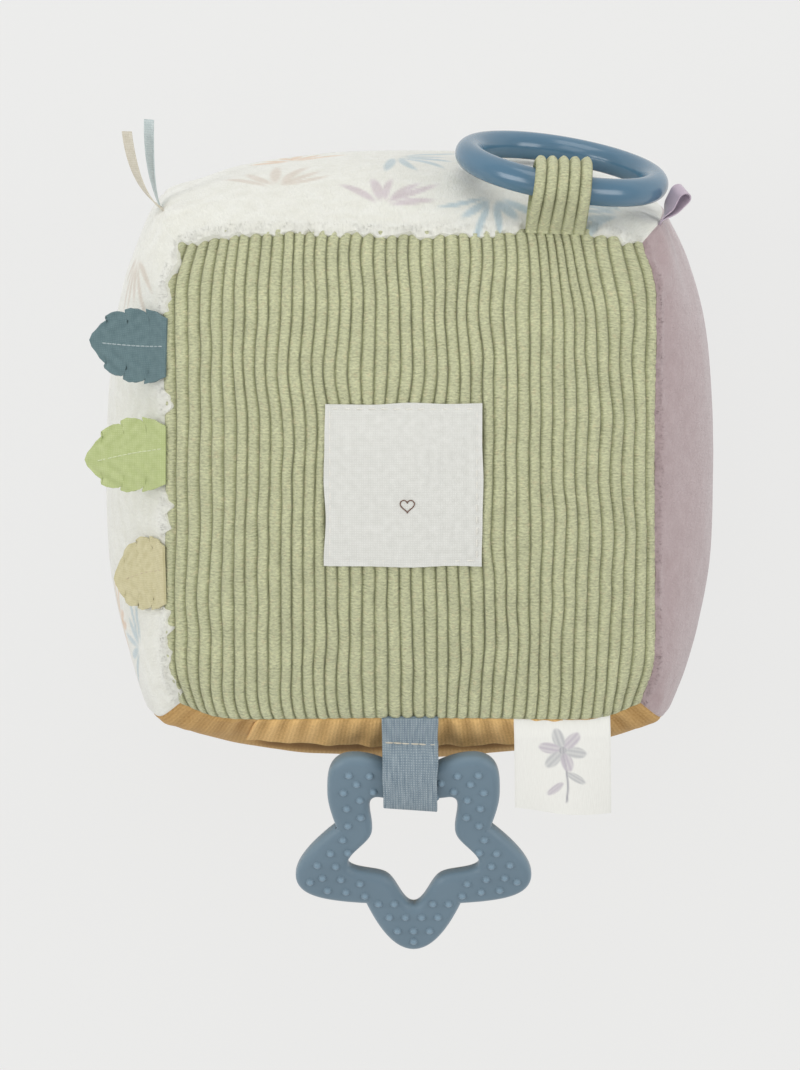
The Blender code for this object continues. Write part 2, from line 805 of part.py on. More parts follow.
def make_leaf(name, seam_y, droop_angle, turn_angle, material):
    curve = flat_outline_curve(name, (leaf_outline(),), LEAF_THICKNESS / 2)
    mesh = mesh_of_curve(curve, name)
    bm = bmesh.new()
    bm.from_mesh(mesh)
    bpy.data.meshes.remove(mesh)
    taper_root(bm, LEAF_TAPER)
    turn = math.radians(turn_angle)
    for vert in bm.verts:
        sway = ramp(vert.co.x / LEAF_LENGTH) * vert.co.x * math.tan(turn)
        vert.co.y += sway
    outward, hinge = tab_axes("left", seam_y, LEAF_HALF_WIDTH, droop_angle)
    place = frame_at(front_seam("left", seam_y), outward, -hinge)
    return add_object(name, mesh_from(bm, name), material, place)


def make_tag(material):
    """Folded satin tag, slightly curled along its length."""
    bm, top, bottom = double_sheet(TAG_STEP_COUNT, TAG_STEP_COUNT)
    for verts, height in ((top, TAG_THICKNESS / 2), (bottom, -TAG_THICKNESS / 2)):
        for vert in verts:
            x = ROOT_GAP + (TAG_LENGTH - ROOT_GAP) * (vert.co.x + 1) / 2
            vert.co = Vector((x, vert.co.y * TAG_WIDTH / 2, height))
    taper_root(bm, TAG_TAPER)
    for vert in bm.verts:
        along = vert.co.x / TAG_LENGTH
        across = vert.co.y / TAG_WIDTH
        vert.co.z += TAG_CURL * along * along * (math.cos(math.pi * across) - along)
    outward, hinge = tab_axes("lower", TAG_SEAM_X, TAG_WIDTH, TAG_DROOP_ANGLE)
    place = frame_at(front_seam("lower", TAG_SEAM_X), outward, hinge)
    return add_object("satin_tag", mesh_from(bm, "satin_tag"), material, place)


# Ribbons


def depth_seam(side, share, width):
    """Point on an upper depth seam, and the seam's direction there, under a ribbon."""
    root = cushion_point(side, 1.0, share)
    step_share = width / 2 / HALF_DEPTH
    low = cushion_point(side, 1.0, share - step_share)
    high = cushion_point(side, 1.0, share + step_share)
    return root, (high - low).normalized()


def make_ribbon(name, shift, bend, tip, material):
    """Narrow ribbon along a bent path from the depth seam, twisting towards its end."""
    share = RIBBON_SEAM_SHARE + shift / HALF_DEPTH
    root, seam = depth_seam("left", share, RIBBON_WIDTH)
    turn = Vector((0, 0, 1)).rotation_difference(seam).to_matrix().to_4x4()
    outward = Vector((bend.x, bend.y, 0)).normalized()
    start = outward * RIBBON_ROOT_GAP
    bm = bmesh.new()
    bmesh.ops.create_grid(bm, x_segments=RIBBON_STEP_COUNT, y_segments=1, size=1.0)
    twist = math.radians(RIBBON_TWIST_ANGLE)
    for vert in bm.verts:
        t = (vert.co.x + 1) / 2
        side_share = vert.co.y / 2
        middle = start * (1 - t) ** 2 + bend * (2 * t * (1 - t)) + tip * t * t
        heading = ((bend - start) * (1 - t) + (tip - bend) * t).normalized()
        level = heading.cross(Vector((0, 0, 1))).normalized()
        angle = twist * ramp(t)
        width = Vector((0, 0, 1)) * math.cos(angle) + level * math.sin(angle)
        vert.co = middle + width * side_share * RIBBON_WIDTH
    place = Matrix.Translation(root) @ turn
    piece = add_object(name, mesh_from(bm, name), material, place)
    thicken(piece, RIBBON_THICKNESS, 0)
    return piece


def make_satin_loop(material):
    root, seam = depth_seam("right", SATIN_LOOP_SEAM_SHARE, SATIN_LOOP_WIDTH)
    side = math.radians(SATIN_LOOP_SIDE_ANGLE)
    normal = seam.cross(Vector((math.sin(side), math.cos(side), 0)))
    outward = normal.cross(seam)
    radius = SATIN_LOOP_RADIUS + SATIN_LOOP_CLOTH
    outline = loop_outline(SATIN_LOOP_REACH - radius, radius, SATIN_LOOP_ROUND_STEP_COUNT)
    bm = sweep_loop(outline, SATIN_LOOP_WIDTH, SATIN_LOOP_ACROSS_STEP_COUNT)
    place = frame_at(root, outward, normal)
    piece = add_object("ribbon_loop", mesh_from(bm, "ribbon_loop"), material, place)
    thicken(piece, SATIN_LOOP_CLOTH, -1)
    return piece


def build():
    white_plush = make_material("white_plush", (0.83, 0.82, 0.77), 0.95)
    mauve_plush = make_material("mauve_plush", (0.46, 0.38, 0.40), 0.9)
    green_corduroy = make_material("green_corduroy", (0.44, 0.46, 0.25), 0.9)
    ochre_corduroy = make_material("ochre_corduroy", (0.50, 0.32, 0.12), 0.9)
    cotton = make_material("label_cotton", (0.84, 0.83, 0.77), 0.85)
    fibre = make_material("polyester_fill", (0.9, 0.9, 0.9), 1.0)
    make_core(fibre)
    make_panel("front", green_corduroy)
    make_panel("back", white_plush)
    make_panel("upper", white_plush)
    make_panel("left", white_plush)
    make_panel("right", mauve_plush)
    make_panel("lower", ochre_corduroy, flap_recess)
    make_flap(ochre_corduroy)
    make_label(cotton)
    make_ring_loop(green_corduroy)
    make_ring(make_material("blue_ring_plastic", (0.14, 0.25, 0.35), 0.25))
    make_strap(make_material("grey_blue_denim", (0.27, 0.33, 0.37), 0.9))
    make_star(make_material("grey_blue_silicone", (0.15, 0.22, 0.28), 0.55))
    make_leaf(
        "leaf_upper",
        LEAF_UPPER_SEAM_Y,
        LEAF_UPPER_DROOP_ANGLE,
        LEAF_UPPER_TURN_ANGLE,
        make_material("blue_grey_felt", (0.16, 0.24, 0.25), 0.9),
    )
    make_leaf(
        "leaf_middle",
        LEAF_MIDDLE_SEAM_Y,
        LEAF_MIDDLE_DROOP_ANGLE,
        LEAF_MIDDLE_TURN_ANGLE,
        make_material("lime_felt", (0.40, 0.50, 0.18), 0.9),
    )
    make_leaf(
        "leaf_lower",
        LEAF_LOWER_SEAM_Y,
        LEAF_LOWER_DROOP_ANGLE,
        LEAF_LOWER_TURN_ANGLE,
        make_material("beige_felt", (0.55, 0.52, 0.30), 0.9),
    )
    make_tag(make_material("white_satin", (0.85, 0.85, 0.82), 0.45))
    make_ribbon(
        "ribbon_cream",
        RIBBON_SPACING / 2,
        Vector((CREAM_BEND_X, CREAM_BEND_Y, 0)),
        Vector((CREAM_TIP_X, CREAM_TIP_Y, -CREAM_TIP_DROP)),
        make_material("cream_ribbon", (0.62, 0.58, 0.45), 0.5),
    )
    make_ribbon(
        "ribbon_blue",
        -RIBBON_SPACING / 2,
        Vector((BLUE_BEND_X, BLUE_BEND_Y, 0)),
        Vector((BLUE_TIP_X, BLUE_TIP_Y, -BLUE_TIP_DROP)),
        make_material("pale_blue_ribbon", (0.50, 0.58, 0.57), 0.5),
    )
    make_satin_loop(make_material("mauve_satin", (0.42, 0.35, 0.40), 0.4))


clear_scene()
PARTS = new_collection(OBJECT_NAME)
CUTTERS = new_collection(CUTTER_NAME)
build()
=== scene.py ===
# Soft fabric activity block for a baby, lying on its back with its corduroy face up.
# Metres. +Z is up, out of the corduroy. +Y is the side with the ring, +X the mauve side.

import math
from itertools import product

import bmesh
import bpy
import numpy as np
from mathutils import Matrix, Vector


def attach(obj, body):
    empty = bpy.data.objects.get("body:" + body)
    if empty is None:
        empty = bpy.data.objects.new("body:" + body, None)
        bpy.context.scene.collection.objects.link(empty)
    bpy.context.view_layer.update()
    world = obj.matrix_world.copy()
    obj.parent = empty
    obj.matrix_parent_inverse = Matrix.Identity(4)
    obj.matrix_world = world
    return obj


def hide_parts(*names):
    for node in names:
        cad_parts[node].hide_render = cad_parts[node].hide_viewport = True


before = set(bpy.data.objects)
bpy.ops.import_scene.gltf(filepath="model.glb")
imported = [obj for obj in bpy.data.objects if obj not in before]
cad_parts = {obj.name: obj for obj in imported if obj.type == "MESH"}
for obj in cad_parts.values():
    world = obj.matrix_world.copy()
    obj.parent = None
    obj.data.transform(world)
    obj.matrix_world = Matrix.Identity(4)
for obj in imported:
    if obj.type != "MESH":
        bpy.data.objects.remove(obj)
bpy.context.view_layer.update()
print("frame loaded, nodes:", len(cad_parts))


# Small helpers for meshes


def clearSelection():
    for item in bpy.context.selected_objects:
        item.select_set(False)


def useOnly(piece):
    clearSelection()
    piece.select_set(True)
    bpy.context.view_layer.objects.active = piece


def linkNew(name, data):
    piece = bpy.data.objects.new(name, data)
    bpy.context.scene.collection.objects.link(piece)
    return piece


def nameIt(piece, name, finish):
    piece.name = name
    piece.data.name = name
    piece.data.materials.clear()
    piece.data.materials.append(finish)
    return piece


def readPoints(piece):
    flat = np.empty(len(piece.data.vertices) * 3)
    piece.data.vertices.foreach_get("co", flat)
    return flat.reshape(-1, 3)


def writePoints(piece, points):
    piece.data.vertices.foreach_set("co", np.asarray(points, dtype=np.float32).ravel())
    piece.data.update()


def mapCloth(piece, across, along):
    # UV in millimetres along the cloth, so that a weave keeps its real size
    while piece.data.uv_layers:
        piece.data.uv_layers.remove(piece.data.uv_layers[0])
    layer = piece.data.uv_layers.new(name="clothMap")
    corners = np.empty(len(piece.data.loops), dtype=np.int32)
    piece.data.loops.foreach_get("vertex_index", corners)
    spots = np.stack([across, along], axis=1)[corners]
    layer.uv.foreach_set("vector", spots.astype(np.float32).ravel())


def tagPoints(piece, name, values):
    layer = piece.data.attributes.new(name, "FLOAT", "POINT")
    layer.data.foreach_set("value", np.asarray(values, dtype=np.float32))


def tintPoints(piece, colours):
    layer = piece.data.color_attributes.new("print", "FLOAT_COLOR", "POINT")
    layer.data.foreach_set("color", np.asarray(colours, dtype=np.float32).ravel())


def smoothShade(piece, angle=None):
    useOnly(piece)
    if angle is None:
        bpy.ops.object.shade_smooth()
    else:
        bpy.ops.object.shade_smooth_by_angle(angle=math.radians(angle))


def applyModifier(piece, kind, **settings):
    useOnly(piece)
    item = piece.modifiers.new("finish", kind)
    for name, value in settings.items():
        setattr(item, name, value)
    bpy.ops.object.modifier_apply(modifier=item.name)


def thicken(piece, thickness, offset=-1, bevel=None):
    applyModifier(piece, "SOLIDIFY", thickness=thickness, offset=offset)
    if bevel:
        applyModifier(piece, "BEVEL", width=bevel, segments=2, limit_method="ANGLE")


def editAll(piece, operator, **settings):
    useOnly(piece)
    bpy.ops.object.mode_set(mode="EDIT")
    bpy.ops.mesh.select_all(action="SELECT")
    operator(**settings)
    bpy.ops.object.mode_set(mode="OBJECT")


def faceOutwards(piece):
    editAll(piece, bpy.ops.mesh.normals_make_consistent, inside=False)


def joinTo(piece, others):
    useOnly(piece)
    for other in others:
        other.select_set(True)
    bpy.ops.object.join()


def addGrid(columns, rows):
    clearSelection()
    bpy.ops.mesh.primitive_grid_add(x_subdivisions=columns, y_subdivisions=rows, size=2)
    piece = bpy.context.object
    spots = readPoints(piece)
    return piece, spots[:, 0].copy(), spots[:, 1].copy()


def curvePiece(name, outlines, finish, **settings):
    # closed outlines as one curve, turned into a mesh
    curve = bpy.data.curves.new(name, "CURVE")
    for key, value in settings.items():
        setattr(curve, key, value)
    for outline in outlines:
        spline = curve.splines.new("POLY")
        spline.points.add(len(outline) - 1)
        spline.use_cyclic_u = True
        for spot, point in zip(spline.points, outline):
            spot.co = (*point, 1.0)
    useOnly(linkNew(name, curve))
    bpy.ops.object.convert(target="MESH")
    return nameIt(bpy.context.object, name, finish)


def copyEach(name, source, places, finish):
    # one mesh of many copies of a small shape, which is then removed
    bm = bmesh.new()
    for place in places:
        start = len(bm.verts)
        bm.from_mesh(source.data)
        bm.verts.ensure_lookup_table()
        bmesh.ops.transform(bm, matrix=place, verts=bm.verts[start:])
    mesh = bpy.data.meshes.new(name)
    bm.to_mesh(mesh)
    bm.free()
    bpy.data.objects.remove(source, do_unlink=True)
    piece = nameIt(linkNew(name, mesh), name, finish)
    smoothShade(piece)
    return piece


# Small helpers for shapes


def ramp(value):
    value = np.clip(value, 0.0, 1.0)
    return value * value * (3 - 2 * value)


def bell(distance, reach):
    share = distance / reach
    return np.exp(-share * share)


def unit(rows):
    return rows / np.maximum(np.linalg.norm(rows, axis=1), 1e-12)[:, None]


def softNoise(points, size, seed=0):
    # smooth value noise from -1 to 1, the same on each run
    spots = np.asarray(points) / size
    cell = np.floor(spots).astype(np.int64)
    part = spots - cell
    part = part * part * (3 - 2 * part)
    total = np.zeros(len(spots))
    for corner in range(8):
        step = np.array([(corner >> k) & 1 for k in range(3)])
        weight = np.prod(np.where(step == 1, part, 1 - part), axis=1)
        place = cell + step
        mixed = place[:, 0] * 374761393 + place[:, 1] * 668265263 + place[:, 2] * 362437
        mixed = (mixed + seed * 974711) & 0xFFFFFFFF
        mixed = ((mixed ^ (mixed >> 13)) * 1274126177) & 0xFFFFFFFF
        total += weight * (((mixed ^ (mixed >> 16)) & 0xFFFF) / 32767.5 - 1)
    return total


def flatNoise(u, v, size, seed=0):
    return softNoise(np.stack([u, v, np.zeros_like(u)], axis=1), size, seed)


def frameAt(point, xAxis, yAxis):
    xAxis = xAxis.normalized()
    zAxis = xAxis.cross(yAxis).normalized()
    yAxis = zAxis.cross(xAxis)
    turn = Matrix((xAxis, yAxis, zAxis)).transposed().to_4x4()
    return Matrix.Translation(point) @ turn


# Small helpers for finishes


def toLinear(hexColour):
    parts = [int(hexColour[i : i + 2], 16) / 255 for i in (1, 3, 5)]
    parts = [p / 12.92 if p <= 0.04045 else ((p + 0.055) / 1.055) ** 2.4 for p in parts]
    return (*parts, 1.0)


def addNode(tree, kind, values=None, **settings):
    # a value is another node's socket, a hex colour or a number
    node = tree.nodes.new("ShaderNode" + kind)
    for name, value in settings.items():
        setattr(node, name, value)
    for name, value in (values or {}).items():
        if isinstance(value, bpy.types.NodeSocket):
            tree.links.new(value, node.inputs[name])
        else:
            node.inputs[name].default_value = toLinear(value) if isinstance(value, str) else value
    return node


def clothSpots(tree):
    return addNode(tree, "UVMap", uv_map="clothMap").outputs[0]


def bodySpots(tree):
    return addNode(tree, "TexCoord").outputs["Object"]


def scaled(tree, spots, scale, turn=0.0):
    values = {"Vector": spots, "Rotation": (0, 0, turn), "Scale": scale}
    return addNode(tree, "Mapping", values).outputs[0]


def fromMap(tree, name, output="Fac"):
    return addNode(tree, "Attribute", attribute_name=name).outputs[output]


def noise(tree, spots, scale, detail, roughness=0.5, distortion=0.0):
    values = {"Vector": spots, "Scale": scale, "Detail": detail}
    values.update({"Roughness": roughness, "Distortion": distortion})
    return addNode(tree, "TexNoise", values).outputs["Fac"]


def bands(tree, spots, distortion, detail, detailScale=1.0, axis="X"):
    # at this scale the wave texture makes one band to each millimetre
    values = {"Vector": spots, "Scale": 0.314, "Distortion": distortion}
    values.update({"Detail": detail, "Detail Scale": detailScale})
    return addNode(tree, "TexWave", values, bands_direction=axis).outputs["Fac"]


def combine(tree, operation, *values):
    return addNode(tree, "Math", dict(enumerate(values)), operation=operation).outputs[0]


def spread(tree, value, low, high, toLow=0.0, toHigh=1.0):
    values = {"Value": value, "From Min": low, "From Max": high}
    values.update({"To Min": toLow, "To Max": toHigh})
    return addNode(tree, "MapRange", values).outputs[0]


def mixColours(tree, share, one, two, blend="MIX"):
    values = {0: share, 6: one, 7: two}
    return addNode(tree, "Mix", values, data_type="RGBA", blend_type=blend).outputs[2]


def scaleColour(tree, colour, share):
    values = {0: colour, "Scale": share}
    return addNode(tree, "VectorMath", values, operation="SCALE").outputs[0]


finishSockets = {
    "roughness": "Roughness",
    "specular": "Specular IOR Level",
    "sheen": "Sheen Weight",
    "sheenRoughness": "Sheen Roughness",
    "anisotropic": "Anisotropic",
    "index": "IOR",
}


def startFinish(title, roughness, specular=0.5, **values):
    finish = bpy.data.materials.new(title)
    finish.use_nodes = True
    shader = finish.node_tree.nodes["Principled BSDF"]
    for name, value in {"roughness": roughness, "specular": specular, **values}.items():
        shader.inputs[finishSockets[name]].default_value = value
    return finish, finish.node_tree


def dress(finish, colour, height, strength, distance):
    tree = finish.node_tree
    shader = tree.nodes["Principled BSDF"]
    tree.links.new(colour, shader.inputs["Base Color"])
    bump = addNode(tree, "Bump", {"Height": height, "Strength": strength, "Distance": distance})
    tree.links.new(bump.outputs[0], shader.inputs["Normal"])
    return finish


# Camera, floor and light

view = {
    "tilt": 5.34,
    "distance": 1.675,
    "aimHeight": 0.084,
    "lens": 176.5,
    "sensor": 36,
    "shift": (-0.0096, -0.0778),
    "clip": (0.05, 50),
}
studio = {
    "floorSize": 14.0,
    "background": "#ebebea",
    "floorShadow": 0.12,
    "worldStrength": 0.61,
    "aim": (0, 0, 0.08),
    # each lamp's place, size and power
    "lamps": {
        "overhead softbox": ((-0.05, 0.52, 0.95), 0.5, 0.8),
        "left softbox": ((-1.25, 0.15, 1.08), 0.85, 7.4),
        "right softbox": ((1.25, 0.10, 1.08), 0.85, 6.4),
        "upper window": ((0.0, 1.50, 0.66), 1.0, 5.2),
        "lower bounce": ((-0.4, -1.60, 0.85), 1.9, 4.0),
    },
}


def makeCamera():
    tilt = math.radians(view["tilt"])
    back, height = math.sin(tilt) * view["distance"], math.cos(tilt) * view["distance"]
    clearSelection()
    place = (0, back, view["aimHeight"] + height)
    bpy.ops.object.camera_add(location=place, rotation=(-tilt, 0, 0))
    camera = bpy.context.object
    camera.data.lens = view["lens"]
    camera.data.sensor_width = view["sensor"]
    camera.data.shift_x, camera.data.shift_y = view["shift"]
    camera.data.clip_start, camera.data.clip_end = view["clip"]
    bpy.context.scene.camera = camera
    bpy.context.scene.view_settings.view_transform = "Standard"


def startTree(holder):
    holder.use_nodes = True
    holder.node_tree.nodes.clear()
    return holder.node_tree


def makeFloor():
    clearSelection()
    bpy.ops.mesh.primitive_plane_add(size=studio["floorSize"], location=(0, 0, 0))
    floor = bpy.context.object
    floor.name = "floor"
    # smooth paper sweep: matte and pale, the same tone wherever it is seen
    finish = bpy.data.materials.new("pale paper sweep")
    tree = startTree(finish)
    matte = addNode(tree, "BsdfDiffuse", {"Color": studio["background"]})
    glow = addNode(tree, "Emission", {"Color": studio["background"], "Strength": 1.0})
    seen = addNode(tree, "LightPath").outputs
    mirrored = combine(tree, "MAXIMUM", seen["Is Glossy Ray"], seen["Is Transmission Ray"])
    either = combine(tree, "MAXIMUM", seen["Is Camera Ray"], mirrored)
    share = combine(tree, "MULTIPLY", either, 1 - studio["floorShadow"])
    mixed = addNode(tree, "MixShader", {0: share, 1: matte.outputs[0], 2: glow.outputs[0]})
    addNode(tree, "OutputMaterial", {"Surface": mixed.outputs[0]})
    floor.data.materials.append(finish)


def makeLight():
    world = bpy.data.worlds.new("pale studio")
    bpy.context.scene.world = world
    tree = startTree(world)
    even = addNode(
        tree, "Background", {"Color": "#ffffff", "Strength": studio["worldStrength"]}
    )
    back = addNode(tree, "Background", {"Color": studio["background"], "Strength": 1.0})
    seen = addNode(tree, "LightPath").outputs["Is Camera Ray"]
    mixed = addNode(tree, "MixShader", {0: seen, 1: even.outputs[0], 2: back.outputs[0]})
    addNode(tree, "OutputWorld", {"Surface": mixed.outputs[0]})
    for name, (place, size, power) in studio["lamps"].items():
        aim = (Vector(studio["aim"]) - Vector(place)).to_track_quat("-Z", "Y").to_euler()
        clearSelection()
        bpy.ops.object.light_add(type="AREA", location=place, rotation=aim)
        light = bpy.context.object
        light.name = name
        light.data.shape = "SQUARE"
        light.data.size = size
        light.data.energy = power


makeCamera()
makeFloor()
makeLight()
print("camera, floor and light made")


# Shape of the stuffed block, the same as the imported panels

block = {
    "halfWidth": 0.0733,
    "halfDepth": 0.0751,
    "faceSeamBow": 0.0021,
    "depthSeamBow": 0.0102,
    "straightBow": 1.45,
    "straightPower": 8,
    "uprightPower": 3,
    "pinch": 0.45,
    "faceCrown": 0.0190,
    "sideCrown": 0.0236,
    "backCrown": 0.0089,
    "dimpleDepth": 0.0035,
    "dimpleReach": 0.0160,
    "ribbonSeamShare": 0.65,
    "seamDip": 0.0011,
    "rollReach": 0.0036,
    "cornerPull": 0.0036,
    "cornerReach": 0.0105,
    # by corner: how far its seam is drawn in, and the level from which that fades
    "seamReach": 0.0300,
    "seamPulls": {
        (-1, 1): (0.0032, -0.0026, 0.30),
        (1, 1): (-0.0034, -0.0044, 0.55),
        (-1, -1): (0.0010, 0.0030, 0.55),
        (1, -1): (-0.0022, 0.0026, 0.55),
    },
    "pullFade": 0.37,
    "lumpSize": 0.034,
    "lumpHeight": 0.0008,
    "fineLump": 0.3,
    "normalStep": 0.004,
    "allowance": 0.005,
    "clothHalf": 75,
}
block["centreHeight"] = block["halfDepth"] + block["backCrown"]
blockCentre = np.array([0.0, 0.0, block["centreHeight"]])


def seamBow(share, sewn):
    # in the solids a seam bows evenly; the sewn one runs straight and turns near its corners
    if not sewn:
        return 1 - share**2
    straight = block["straightBow"] * (1 - share ** block["straightPower"])
    return straight - block["pinch"] * (1 - share**2) ** 2


def upright(along, sewn):
    # the upright seams stay full almost up to the corners once they are sewn and stuffed
    return 1 - np.abs(along) ** (block["uprightPower"] if sewn else 2)


def plainPoints(face, across, along, inset=0.0, sewn=False):
    half = block["halfWidth"] - inset
    deep = block["halfDepth"] - inset
    bowAcross = 1 - across**2
    bowAlong = 1 - along**2
    faceBow, depthBow = block["faceSeamBow"], block["depthSeamBow"]
    if face in ("front", "back"):
        crown = (block["faceCrown"] - 2 * faceBow) * bowAcross * bowAlong
        out = deep + faceBow * (bowAcross + bowAlong) + crown
        x = across * (half + faceBow * seamBow(along, sewn))
        y = along * (half + faceBow * seamBow(across, sewn))
        z = out if face == "front" else -out
    else:
        crown = (block["sideCrown"] - faceBow - depthBow) * bowAcross * bowAlong
        out = half + faceBow * seamBow(across, sewn) + depthBow * upright(along, sewn) + crown
        side = across * (half + depthBow * upright(along, sewn))
        z = along * (deep + faceBow * bowAcross)
        out = out if face in ("right", "upper") else -out
        x, y = (out, side) if face in ("left", "right") else (side, out)
    height = block["centreHeight"]
    return np.stack([x, y, np.maximum(z, inset - height) + height], axis=1)


def cushionPoints(face, across, along, inset=0.0, sewn=True):
    across, along = np.atleast_1d(across).astype(float), np.atleast_1d(along).astype(float)
    points = plainPoints(face, across, along, inset, sewn)
    one = np.array([1.0])
    spot = plainPoints("left", one, one * block["ribbonSeamShare"])[0]
    away = np.linalg.norm(points - spot, axis=1)
    points[:, 0] += block["dimpleDepth"] * bell(away, block["dimpleReach"])
    return points


def normalsOf(surface, across, along, back=1):
    # the way a surface faces, from a small step on and, unless it is told not to, one back
    step = block["normalStep"]
    a, b = (np.clip(share, back * step - 1, 1 - step) for share in (across, along))
    one = surface(a + step, b) - surface(a - back * step, b)
    two = surface(a, b + step) - surface(a, b - back * step)
    normal = unit(np.cross(one, two))
    normal[(normal * (surface(a, b) - blockCentre)).sum(axis=1) < 0] *= -1
    return normal


def outwardNormals(face, across, along):
    return normalsOf(lambda a, b: cushionPoints(face, a, b), across, along)


def pullCorners(points):
    # blunt the eight stuffed corners and draw in the upright seams, on every cloth alike
    # so that the seams stay shut
    for a, b, face in product((-1.0, 1.0), (-1.0, 1.0), ("front", "back")):
        corner = cushionPoints(face, a, b)[0]
        away = np.linalg.norm(points - corner, axis=1)
        inward = unit((blockCentre - corner)[None, :])
        points = points + inward * block["cornerPull"] * bell(away, block["cornerReach"])[:, None]
    level = np.abs(points[:, 2] - block["centreHeight"]) / block["halfDepth"]
    bow = block["halfWidth"] + block["depthSeamBow"] * upright(np.minimum(level, 1), True)
    for (a, b), (dx, dy, start) in block["seamPulls"].items():
        strength = 1 - ramp((level - start) / block["pullFade"])
        away = np.hypot(points[:, 0] - a * bow, points[:, 1] - b * bow)
        pull = strength * bell(away, block["seamReach"])
        points = points + np.stack([dx * pull, dy * pull, 0 * pull], axis=1)
    return points


def edgeDistance(across, along):
    return np.minimum(1 - np.abs(across), 1 - np.abs(along)) * block["halfWidth"]


def rollIn(base, edge):
    # the cloth rolls into its seam over the last few millimetres
    share = np.clip(1 - edge / block["rollReach"], 0, 1)
    dip = block["seamDip"] * (1 - np.sqrt(np.maximum(1 - share * share, 0)))
    return unit(blockCentre - base) * dip[:, None]


def sewnSurface(face, across, along, relief=0.0):
    # cloth between its seams: stuffing lumps and relief, rolled into the seam at its edge
    base = cushionPoints(face, across, along)
    normal = outwardNormals(face, across, along)
    edge = edgeDistance(across, along)
    lump = softNoise(base, block["lumpSize"], 3)
    lump += block["fineLump"] * softNoise(base, block["lumpSize"] / 3, 4)
    lift = (relief + block["lumpHeight"] * lump) * ramp(edge / (block["rollReach"] * 0.9))
    points = pullCorners(base + normal * lift[:, None] + rollIn(base, edge))
    points[:, 2] = np.maximum(points[:, 2], 0.0)
    return points, normal


def turnInEdges(piece):
    # seam allowance: the cloth's raw edge, turned in behind the seam
    bm = bmesh.new()
    bm.from_mesh(piece.data)
    rim = [edge for edge in bm.edges if edge.is_boundary]
    # a crisp fold, so that the cloth stays light up to its seam
    for edge in rim:
        edge.smooth = False
    for item in bmesh.ops.extrude_edge_only(bm, edges=rim)["geom"]:
        if isinstance(item, bmesh.types.BMVert):
            item.co += (Vector(blockCentre) - item.co).normalized() * block["allowance"]
            item.co.z = max(item.co.z, 0.0)
    bm.to_mesh(piece.data)
    bm.free()


def turnOutwards(piece, middle=blockCentre):
    # an open cloth has no inside, so its faces are compared with the block's centre
    first = piece.data.polygons[len(piece.data.polygons) // 2]
    if first.normal.dot(Vector(first.center) - Vector(middle)) < 0:
        editAll(piece, bpy.ops.mesh.flip_normals)


def closeCloth(piece):
    turnOutwards(piece)
    turnInEdges(piece)
    smoothShade(piece)


# Finishes


def makeCorduroy(name, ridge, groove, straw):
    # wide-wale cotton corduroy: brushed, matte rounded ribs with grooves between them painted
    # darker, partly the cloth's own darker ground and partly painted shade
    finish, tree = startFinish(name, 0.95, 0.15, sheen=0.18, sheenRoughness=0.6)
    cloth = clothSpots(tree)
    wale = fromMap(tree, "wale")
    # tufts are 0.5 mm apart, drawn 1 mm apart so that they show, each wale in its own step
    offset = addNode(tree, "CombineXYZ", {"Y": fromMap(tree, "tuftStep")}).outputs[0]
    moved = addNode(tree, "VectorMath", {0: cloth, 1: offset}, operation="ADD").outputs[0]
    tufts = bands(tree, moved, 5.0, 3.0, 2.6, "Y")
    fibres = noise(tree, scaled(tree, moved, (0.8, 1.9, 1), 0.45), 1.0, 3.0, roughness=0.65)
    depth = spread(tree, combine(tree, "MULTIPLY_ADD", fibres, 0.55, wale), 0.30, 0.95)
    body = mixColours(tree, depth, groove, ridge)
    fleckShare = spread(tree, noise(tree, cloth, 0.55, 2.0), 0.56, 0.74, 0.0, 0.5)
    flecked = mixColours(tree, fleckShare, body, straw)
    heights = combine(tree, "MULTIPLY_ADD", tufts, 0.1, fibres)
    # painted light: the tufts' low parts are painted darker as shade and their tops lighter as
    # highlights
    shade = spread(tree, heights, 0.36, 0.72, 0.72, 1.14)
    slow = spread(tree, noise(tree, cloth, 0.12, 4.0), 0.3, 0.7, 0.92, 1.06)
    toned = scaleColour(tree, flecked, combine(tree, "MULTIPLY", shade, slow))
    return dress(finish, toned, heights, 0.9, 0.0010)


def makePlush(name, ground, shade):
    # short polyester plush: soft brushed pile that catches light where it lies over
    finish, tree = startFinish(name, 0.9, 0.2, sheen=0.6, sheenRoughness=0.45)
    if ground is None:
        ground = fromMap(tree, "print", "Color")
    # strands are under 0.1 mm, drawn as 0.6 mm clumps that lie one way so that they show
    combed = scaled(tree, clothSpots(tree), (1.7, 0.55, 1), 0.3)
    strands = noise(tree, combed, 1.0, 3.0, distortion=0.8)
    brushed = noise(tree, bodySpots(tree), 210.0, 4.0, distortion=0.3)
    dark = mixColours(tree, 1.0, ground, shade, "MULTIPLY")
    body = mixColours(tree, spread(tree, brushed, 0.25, 0.7, 0.75, 0.0), ground, dark)
    toned = scaleColour(tree, body, spread(tree, strands, 0.3, 0.7, 0.95, 1.03))
    heights = combine(tree, "MULTIPLY_ADD", brushed, 0.8, strands)
    return dress(finish, toned, heights, 0.5, 0.0006)


def makeWoven(
    name, colour, shade, pitch, strength, depth=0.0002, slubs=(0.45, 0.45), roughness=0.9
):
    # plain cotton weave: matte, fine crossing threads; pitch in millimetres
    finish, tree = startFinish(name, roughness, 0.25, sheen=0.1)
    cloth = clothSpots(tree)
    woven = scaled(tree, cloth, (1 / pitch,) * 3)
    warp, weft = (bands(tree, woven, 0.7, 1.0, 1.5, axis) for axis in "XY")
    threads = combine(tree, "MULTIPLY", warp, weft)
    thick = noise(tree, scaled(tree, cloth, (*slubs, 1)), 1.0, 4.0)
    share = spread(tree, combine(tree, "MULTIPLY_ADD", threads, 0.5, thick), 0.35, 1.1)
    return dress(finish, mixColours(tree, share, shade, colour), threads, strength, depth)


